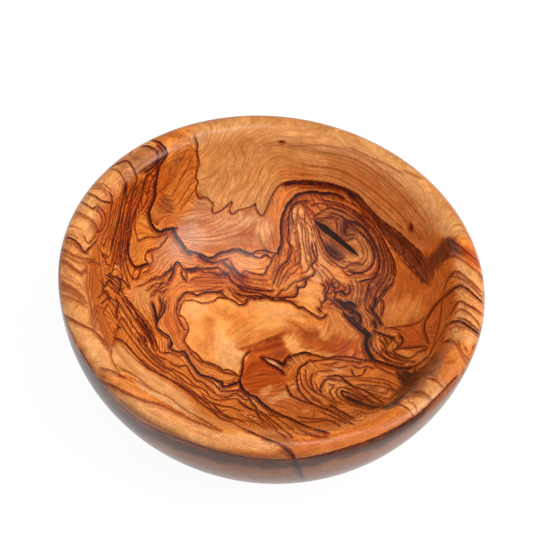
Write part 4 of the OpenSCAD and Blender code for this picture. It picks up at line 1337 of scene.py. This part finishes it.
def paint_figure(dish, colours):
    """Writes the wood's figure, painted shade and glints to the dish's mesh as attributes the material reads.
    """
    mesh = dish.data
    points = vertex_values(mesh, "co") / MM
    normals = vertex_values(mesh, "normal")
    surface = BVHTree.FromObject(dish, bpy.context.evaluated_depsgraph_get())
    view = PhotoView()
    lines = lines_on_dish(view, surface, FIGURE)
    flecks = lines_on_dish(view, surface, FLECKS_AND_GLINTS)
    for word, drawn, count in (("growth_lines", lines, LAYERS), ("flecks", flecks, FLECK_LAYERS)):
        for place, layer in enumerate(layer_lines(drawn, count)):
            store(mesh, f"{word}_{place}", "FLOAT_VECTOR", "vector", line_field(layer, points))
    ages, slope = ring_ages(view, surface, lines, points)
    store(mesh, "ring_age", "FLOAT", "value", ages)
    fibres = np.cross(normals, slope)
    fibres /= np.maximum(np.linalg.norm(fibres, axis=1), 1e-6)[:, None]
    seen = seen_by_camera(view, surface, points, normals)
    tones, crowding = wood_tones(view, points, seen, ages, fibres, colours)
    store(mesh, "tone", "FLOAT_COLOR", "color", np.column_stack([tones, np.ones(len(tones))]))
    store(mesh, "crowding", "FLOAT", "value", crowding)


def line_group():
    """Node group that draws a layer of growth lines and the shade beside them from signed distances."""
    tree = bpy.data.node_groups.new("Growth line", "ShaderNodeTree")
    kinds = {"Line": "NodeSocketVector", "Wander": "NodeSocketFloat", "Swell": "NodeSocketFloat"}
    for name, kind in kinds.items():
        tree.interface.new_socket(name=name, in_out="INPUT", socket_type=kind)
    for name in ("Dark", "Shade"):
        tree.interface.new_socket(name=name, in_out="OUTPUT", socket_type="NodeSocketFloat")
    given = add(tree, "NodeGroupInput").outputs
    parts = add(tree, "ShaderNodeSeparateXYZ", {"Vector": given["Line"]}).outputs

    # Thin lines wander and swell in full, and wide ones less
    width = add(tree, "ShaderNodeMath", {0: parts["Z"], 1: 0.25}, operation="ADD")
    steady = add(tree, "ShaderNodeMath", {0: 0.25, 1: width}, operation="DIVIDE")
    moved = add(tree, "ShaderNodeMath", {
        0: given["Wander"], 1: steady, 2: parts["X"]}, operation="MULTIPLY_ADD")
    off = add(tree, "ShaderNodeMath", {0: moved}, operation="ABSOLUTE")
    grown = add(tree, "ShaderNodeMath", {0: given["Swell"], 1: steady, 2: 1.0}, operation="MULTIPLY_ADD")
    half = add(tree, "ShaderNodeMath", {0: parts["Z"], 1: grown}, operation="MULTIPLY")

    # A dark core with a soft edge, and a wider shade that leans to one side
    outer = add(tree, "ShaderNodeMath", {0: half, 1: 1.1, 2: 0.08}, operation="MULTIPLY_ADD")
    inner = add(tree, "ShaderNodeMath", {0: half, 1: 0.5}, operation="MULTIPLY")
    core = add(tree, "ShaderNodeMapRange", {
        "Value": off, "From Min": outer, "From Max": inner}, interpolation_type="SMOOTHSTEP")
    dark = add(tree, "ShaderNodeMath", {0: core, 1: parts["Y"]}, operation="MULTIPLY")
    lean = add(tree, "ShaderNodeMath", {0: moved, 1: 0.4, 2: off}, operation="MULTIPLY_ADD")
    fade = add(tree, "ShaderNodeMath", {0: half, 1: 1.5, 2: 0.3}, operation="MULTIPLY_ADD")
    side = add(tree, "ShaderNodeMapRange", {
        "Value": lean, "From Min": fade, "From Max": half}, interpolation_type="SMOOTHSTEP")
    shade = add(tree, "ShaderNodeMath", {0: side, 1: parts["Y"]}, operation="MULTIPLY")
    add(tree, "NodeGroupOutput", {"Dark": dark, "Shade": shade})
    return tree


def drawn_lines(tree, wander, swell):
    """Darkness of growth lines, the shade beside them and the strength of pale flecks and painted glints."""
    group = line_group()
    strongest = {}
    plan = (("growth_lines", LAYERS, ("Dark", "Shade")), ("flecks", FLECK_LAYERS, ("Dark",)))
    for word, count, looks in plan:
        for layer in range(count):
            field = add(tree, "ShaderNodeAttribute", attribute_name=f"{word}_{layer}")
            drawn = add(tree, "ShaderNodeGroup", {
                "Line": field.outputs["Vector"], "Wander": wander, "Swell": swell}, node_tree=group)
            for look in looks:
                so_far = strongest.get((word, look), 0.0)
                strongest[word, look] = add(tree, "ShaderNodeMath", {
                    0: so_far, 1: drawn.outputs[look]}, operation="MAXIMUM")
    return strongest.values()


def powers(tree, bases, exponents):
    """Colour of three powers, as light that wood takes in: the deeper it goes, the redder it comes back."""
    parts = [add(tree, "ShaderNodeMath", {0: base, 1: exponent}, operation="POWER")
             for base, exponent in zip(bases, exponents)]
    return add(tree, "ShaderNodeCombineXYZ", dict(zip("XYZ", parts)))


def bare_material(name):
    """New material with an empty node tree, and that tree."""
    material = bpy.data.materials.new(name)
    material.use_nodes = True
    material.node_tree.nodes.clear()
    return material, material.node_tree


def oiled_olive_wood(colours):
    """Olive wood, turned, sanded and oiled: warm, close-grained, dark growth lines under a soft gloss."""
    material, tree = bare_material("olive_wood_turned_and_oiled")
    place = add(tree, "ShaderNodeTexCoord").outputs["Object"]
    # The tone holds painted shade on the outer wall and under the near lip, and painted highlights on the lip
    tone = add(tree, "ShaderNodeAttribute", attribute_name="tone").outputs["Color"]
    age = add(tree, "ShaderNodeAttribute", attribute_name="ring_age").outputs["Fac"]
    busy = add(tree, "ShaderNodeAttribute", attribute_name="crowding").outputs["Fac"]

    # The lines wander by about a fifth of a millimetre, swell and thin along their length, and break up
    ragged = add(tree, "ShaderNodeTexNoise", {
        "Vector": place, "Scale": 1 / (1.1 * MM), "Detail": 2.0, "Roughness": 0.6})
    uneven = add(tree, "ShaderNodeSeparateXYZ", {"Vector": ragged.outputs["Color"]}).outputs
    wander = add(tree, "ShaderNodeMapRange", {"Value": uneven["X"], "To Min": -0.7, "To Max": 0.7})
    swell = add(tree, "ShaderNodeMapRange", {
        "Value": uneven["Y"], "From Min": 0.3, "From Max": 0.7, "To Min": -0.65, "To Max": 0.8})
    broken = add(tree, "ShaderNodeMapRange", {
        "Value": uneven["Z"], "From Min": 0.35, "From Max": 0.55, "To Min": 0.6, "To Max": 1.0})
    darkest, shadiest, palest = drawn_lines(tree, wander, swell)
    darkest = add(tree, "ShaderNodeMath", {0: darkest, 1: broken}, operation="MULTIPLY")

    # Fine streaks, a few to the millimetre across the rings and a tenth as many along them, strongest where
    # the rings crowd
    drift = add(tree, "ShaderNodeVectorMath", {0: place, "Scale": 0.09 / MM}, operation="SCALE")
    along = add(tree, "ShaderNodeCombineXYZ", {"X": age})
    grain = add(tree, "ShaderNodeVectorMath", {0: along, 1: drift}, operation="ADD")
    streak = add(tree, "ShaderNodeTexNoise", {
        "Vector": grain, "Scale": 1.4, "Detail": 5.0, "Roughness": 0.7})
    contrast = add(tree, "ShaderNodeMath", {0: busy, 1: 1.4, 2: 0.4}, operation="MULTIPLY_ADD")
    streak_light = add(tree, "ShaderNodeMapRange", {
        "Value": streak, "From Min": 0.25, "From Max": 0.75, "To Min": 0.4, "To Max": -0.4})

    # Pores and ray cells, about half a millimetre, and soft patches a few millimetres wide
    pores = add(tree, "ShaderNodeTexNoise", {
        "Vector": place, "Scale": 1 / (0.6 * MM), "Detail": 3.0, "Roughness": 0.75})
    pore_light = add(tree, "ShaderNodeMapRange", {
        "Value": pores, "From Min": 0.3, "From Max": 0.7, "To Min": -0.2, "To Max": 0.2})
    grainy = add(tree, "ShaderNodeMath", {0: streak_light, 1: pore_light})
    streaky = add(tree, "ShaderNodeMath", {0: grainy, 1: contrast, 2: 1.0}, operation="MULTIPLY_ADD")
    mottle = add(tree, "ShaderNodeTexNoise", {
        "Vector": place, "Scale": 1 / (4 * MM), "Detail": 5.0, "Roughness": 0.65})
    mottle_light = add(tree, "ShaderNodeMapRange", {
        "Value": mottle, "From Min": 0.3, "From Max": 0.7, "To Min": 0.78, "To Max": 1.18})
    light = add(tree, "ShaderNodeMath", {0: mottle_light, 1: streaky}, operation="MULTIPLY")
    blush = add(tree, "ShaderNodeTexNoise", {"Vector": grain, "Scale": 0.4, "Detail": 4.0})
    hue = add(tree, "ShaderNodeMix", {
        0: blush, 6: (1.07, 0.8, 0.5, 1), 7: (0.99, 1.15, 1.3, 1)}, data_type="RGBA")
    tinted = add(tree, "ShaderNodeMix", {0: 1.0, 6: tone, 7: hue}, data_type="RGBA", blend_type="MULTIPLY")
    depth = powers(tree, [light] * 3, (1.0, 1.35, 1.7))
    body = add(tree, "ShaderNodeVectorMath", {0: tinted, 1: depth}, operation="MULTIPLY")

    # Thin brown rings, about 1.7 mm apart, between the drawn lines and on wood that the photograph hides
    warped = add(tree, "ShaderNodeMath", {0: streak, 1: 2.0, 2: age}, operation="MULTIPLY_ADD")
    rings = add(tree, "ShaderNodeTexVoronoi", {"W": warped, "Scale": 1 / 1.7},
                voronoi_dimensions="1D", feature="DISTANCE_TO_EDGE")
    ring_dark = add(tree, "ShaderNodeMapRange", {
        "Value": rings, "From Min": 0.17, "From Max": 0.03}, interpolation_type="SMOOTHSTEP")
    patchy = add(tree, "ShaderNodeMapRange", {
        "Value": mottle, "From Min": 0.42, "From Max": 0.56, "To Min": 0.2, "To Max": 1.0})
    ring_part = add(tree, "ShaderNodeMath", {0: ring_dark, 1: patchy}, operation="MULTIPLY")
    ring_busy = add(tree, "ShaderNodeMath", {0: ring_part, 1: busy}, operation="MULTIPLY")
    shadiest = add(tree, "ShaderNodeMath", {0: shadiest, 1: ring_busy}, operation="MAXIMUM")
    blackened = add(tree, "ShaderNodeMapRange", {
        "Value": busy, "From Min": 0.65, "From Max": 1.0, "To Min": 0.0, "To Max": 0.75})
    ring_black = add(tree, "ShaderNodeMath", {0: ring_part, 1: blackened}, operation="MULTIPLY")
    fading = add(tree, "ShaderNodeMapRange", {
        "Value": mottle, "From Min": 0.36, "From Max": 0.5, "To Min": 0.6, "To Max": 1.0})
    darkest = add(tree, "ShaderNodeMath", {0: darkest, 1: fading}, operation="MULTIPLY")
    darkest = add(tree, "ShaderNodeMath", {0: darkest, 1: ring_black}, operation="MAXIMUM")

    # Beside a growth line the wood is a deep reddish brown. A faint line stains it, and a strong one is
    # near black.
    shade = powers(tree, colours.shade, [shadiest] * 3)
    shaded = add(tree, "ShaderNodeVectorMath", {0: body, 1: shade}, operation="MULTIPLY")
    # The pale flecks, with the painted glints among them, turn the wood towards peach
    flecked = add(tree, "ShaderNodeMix", {0: palest, 6: shaded, 7: (*colours.peach, 1)}, data_type="RGBA")
    stain_share = add(tree, "ShaderNodeMapRange", {"Value": darkest, "From Max": 0.7})
    stain = powers(tree, colours.stain, [stain_share] * 3)
    stained = add(tree, "ShaderNodeVectorMath", {0: flecked, 1: stain}, operation="MULTIPLY")
    blackest = add(tree, "ShaderNodeMapRange", {"Value": darkest, "From Min": 0.42, "From Max": 0.85})
    paint = add(tree, "ShaderNodeMix", {0: blackest, 6: stained, 7: (*colours.line, 1)}, data_type="RGBA")
    rough = add(tree, "ShaderNodeMapRange", {"Value": mottle, "To Min": 0.34, "To Max": 0.5})
    bump = add(tree, "ShaderNodeBump", {"Height": streak, "Strength": 0.05, "Distance": 0.1 * MM})
    surface = add(tree, "ShaderNodeBsdfPrincipled", {
        "Base Color": paint, "Roughness": rough, "Normal": bump,
        "IOR": 1.5, "Specular IOR Level": 0.1, "Coat Weight": 1.0, "Coat IOR": 1.3, "Coat Roughness": 0.16})
    add(tree, "ShaderNodeOutputMaterial", {"Surface": surface})
    return material


def sanded_filler(colours):
    """Dark resin filler, sanded flush: near black and dull, with a little wood dust in it."""
    material, tree = bare_material("resin_filler_sanded")
    place = add(tree, "ShaderNodeTexCoord").outputs["Object"]
    dust = add(tree, "ShaderNodeTexNoise", {
        "Vector": place, "Scale": 1 / (1.2 * MM), "Detail": 5.0, "Roughness": 0.7})
    shade = add(tree, "ShaderNodeValToRGB", {"Fac": dust})
    shade.color_ramp.elements[0].position = 0.35
    shade.color_ramp.elements[0].color = (*[c * 0.5 for c in colours.filler], 1)
    shade.color_ramp.elements[1].position = 0.75
    shade.color_ramp.elements[1].color = (*[c * 2.0 for c in colours.filler], 1)
    rough = add(tree, "ShaderNodeMapRange", {"Value": dust, "To Min": 0.45, "To Max": 0.7})
    bump = add(tree, "ShaderNodeBump", {"Height": dust, "Strength": 0.3, "Distance": 0.1 * MM})
    surface = add(tree, "ShaderNodeBsdfPrincipled", {
        "Base Color": shade, "Roughness": rough, "Normal": bump,
        "IOR": 1.5, "Specular IOR Level": 0.1})
    add(tree, "ShaderNodeOutputMaterial", {"Surface": surface})
    return material


class DISH_OT_set_stage(bpy.types.Operator):
    """Makes the floor, the light and the photograph's camera"""

    bl_idname = "dish.set_stage"
    bl_label = "Set the stage"

    def execute(self, context):
        scene = context.scene
        look = scene.dish_stage
        half = look.floor_width / 2
        mesh = bpy.data.meshes.new("floor")
        corners = [(-half, -half, 0), (half, -half, 0), (half, half, 0), (-half, half, 0)]
        mesh.from_pydata(corners, [], [(0, 1, 2, 3)])
        floor = bpy.data.objects.new("floor", mesh)
        scene.collection.objects.link(floor)
        mesh.materials.append(self.floor_paper(look))
        self.world_light(scene, look)
        self.soft_lamp(scene, "top_light", look.top_power, *TOP_LAMP)
        self.soft_lamp(scene, "side_light", look.side_power, *SIDE_LAMP)
        camera_data = bpy.data.cameras.new("photo_camera")
        camera_data.sensor_width = SENSOR_WIDTH
        camera_data.lens = VIEW_LENS
        camera_data.clip_start = 0.01
        camera = bpy.data.objects.new("photo_camera", camera_data)
        camera.matrix_world = photo_camera()
        scene.collection.objects.link(camera)
        scene.camera = camera
        scene.view_settings.view_transform = "Standard"
        return {"FINISHED"}

    def soft_lamp(self, scene, name, power, width, round_degrees, up_degrees):
        """Round soft lamp, one metre from the dish, at a direction round from +X and up from the floor."""
        lamp = bpy.data.lights.new(name, "AREA")
        lamp.shape = "DISK"
        lamp.size = width
        lamp.energy = power
        stand = bpy.data.objects.new(name, lamp)
        turn = math.radians(round_degrees)
        lift = math.radians(up_degrees)
        stand.location = (math.cos(lift) * math.cos(turn), math.cos(lift) * math.sin(turn), math.sin(lift))
        stand.rotation_euler = stand.location.to_track_quat("Z", "Y").to_euler()
        scene.collection.objects.link(stand)

    def floor_paper(self, look):
        """Matt paper: white to the camera, greyer in the gloss of the dish, with the dish's soft shadow."""
        material, tree = bare_material("paper_sweep_matt")
        path = add(tree, "ShaderNodeLightPath").outputs
        gleam = add(tree, "ShaderNodeMath", {
            0: path["Is Glossy Ray"], 1: path["Is Transmission Ray"]}, operation="MAXIMUM")
        mirrored = add(tree, "ShaderNodeMath", {0: gleam, 1: PAPER_GLEAM}, operation="MULTIPLY")
        lift = add(tree, "ShaderNodeMath", {
            0: path["Is Camera Ray"], 1: PAPER_WHITE, 2: mirrored}, operation="MULTIPLY_ADD")
        matt = add(tree, "ShaderNodeBsdfDiffuse", {"Color": (*look.floor_colour, 1)})
        glow = add(tree, "ShaderNodeEmission", {"Color": (1, 1, 1, 1), "Strength": lift})
        both = add(tree, "ShaderNodeAddShader", {0: matt, 1: glow})
        add(tree, "ShaderNodeOutputMaterial", {"Surface": both})
        return material

    def world_light(self, scene, look):
        """Soft light from overhead, dim near the floor and behind a flag, white where the camera sees it."""
        world = bpy.data.worlds.new("studio")
        world.use_nodes = True
        tree = world.node_tree
        tree.nodes.clear()
        path = add(tree, "ShaderNodeLightPath").outputs
        way = add(tree, "ShaderNodeTexCoord").outputs["Generated"]
        height = add(tree, "ShaderNodeVectorMath", {0: way, 1: SKY_TOP}, operation="DOT_PRODUCT")
        dome = add(tree, "ShaderNodeMapRange", {
            "Value": height, "From Min": 0.2, "From Max": 0.95, "To Min": SKY_FOOT,
            "To Max": look.sky_strength}, interpolation_type="SMOOTHSTEP")
        behind = add(tree, "ShaderNodeVectorMath", {0: way, 1: FLAG_WAY}, operation="DOT_PRODUCT")
        flag = add(tree, "ShaderNodeMapRange", {
            "Value": behind, "From Min": 0.88, "From Max": 0.97, "To Min": 1.0, "To Max": FLAG_SHARE},
            interpolation_type="SMOOTHSTEP")
        flagged = add(tree, "ShaderNodeMath", {0: dome, 1: flag}, operation="MULTIPLY")
        strength = add(tree, "ShaderNodeMix", {
            0: path["Is Camera Ray"], 2: flagged, 3: 1.0}, data_type="FLOAT")
        sky = add(tree, "ShaderNodeBackground", {"Color": (1, 1, 1, 1), "Strength": strength})
        add(tree, "ShaderNodeOutputWorld", {"Surface": sky})
        scene.world = world


class DISH_OT_turn_bowl(bpy.types.Operator):
    """Turns the dish, draws the figure of its wood and oils it"""

    bl_idname = "dish.turn_bowl"
    bl_label = "Turn the bowl"

    def execute(self, context):
        scene = context.scene
        dish = turn_dish(scene.dish_sizes, oiled_olive_wood(scene.dish_tones))
        paint_figure(dish, scene.dish_tones)
        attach(dish, "root")
        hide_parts("bowl")
        return {"FINISHED"}


class DISH_OT_fill_check(bpy.types.Operator):
    """Gives the filler in the check its finish"""

    bl_idname = "dish.fill_check"
    bl_label = "Fill the check"

    def execute(self, context):
        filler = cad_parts["knot_fill"]
        filler.data.materials.clear()
        filler.data.materials.append(sanded_filler(context.scene.dish_tones))
        return {"FINISHED"}


class DISH_PT_olive_dish(bpy.types.Panel):
    """Lists the steps that build the dish"""

    bl_idname = "DISH_PT_olive_dish"
    bl_label = "Olive Dish"
    bl_space_type = "VIEW_3D"
    bl_region_type = "UI"
    bl_category = "Olive Dish"

    def draw(self, context):
        for step in STEPS:
            self.layout.operator(step.bl_idname)


STEPS = (DISH_OT_set_stage, DISH_OT_turn_bowl, DISH_OT_fill_check)
CLASSES = (DishSizes, WoodTones, StageLook, *STEPS, DISH_PT_olive_dish)


def register():
    for item in CLASSES:
        bpy.utils.register_class(item)
    bpy.types.Scene.dish_sizes = bpy.props.PointerProperty(type=DishSizes)
    bpy.types.Scene.dish_tones = bpy.props.PointerProperty(type=WoodTones)
    bpy.types.Scene.dish_stage = bpy.props.PointerProperty(type=StageLook)


def unregister():
    del bpy.types.Scene.dish_stage
    del bpy.types.Scene.dish_tones
    del bpy.types.Scene.dish_sizes
    for item in reversed(CLASSES):
        bpy.utils.unregister_class(item)


def main():
    register()
    bpy.ops.dish.set_stage()
    bpy.ops.dish.turn_bowl()
    bpy.ops.dish.fill_check()


if __name__ == "__main__":
    main()
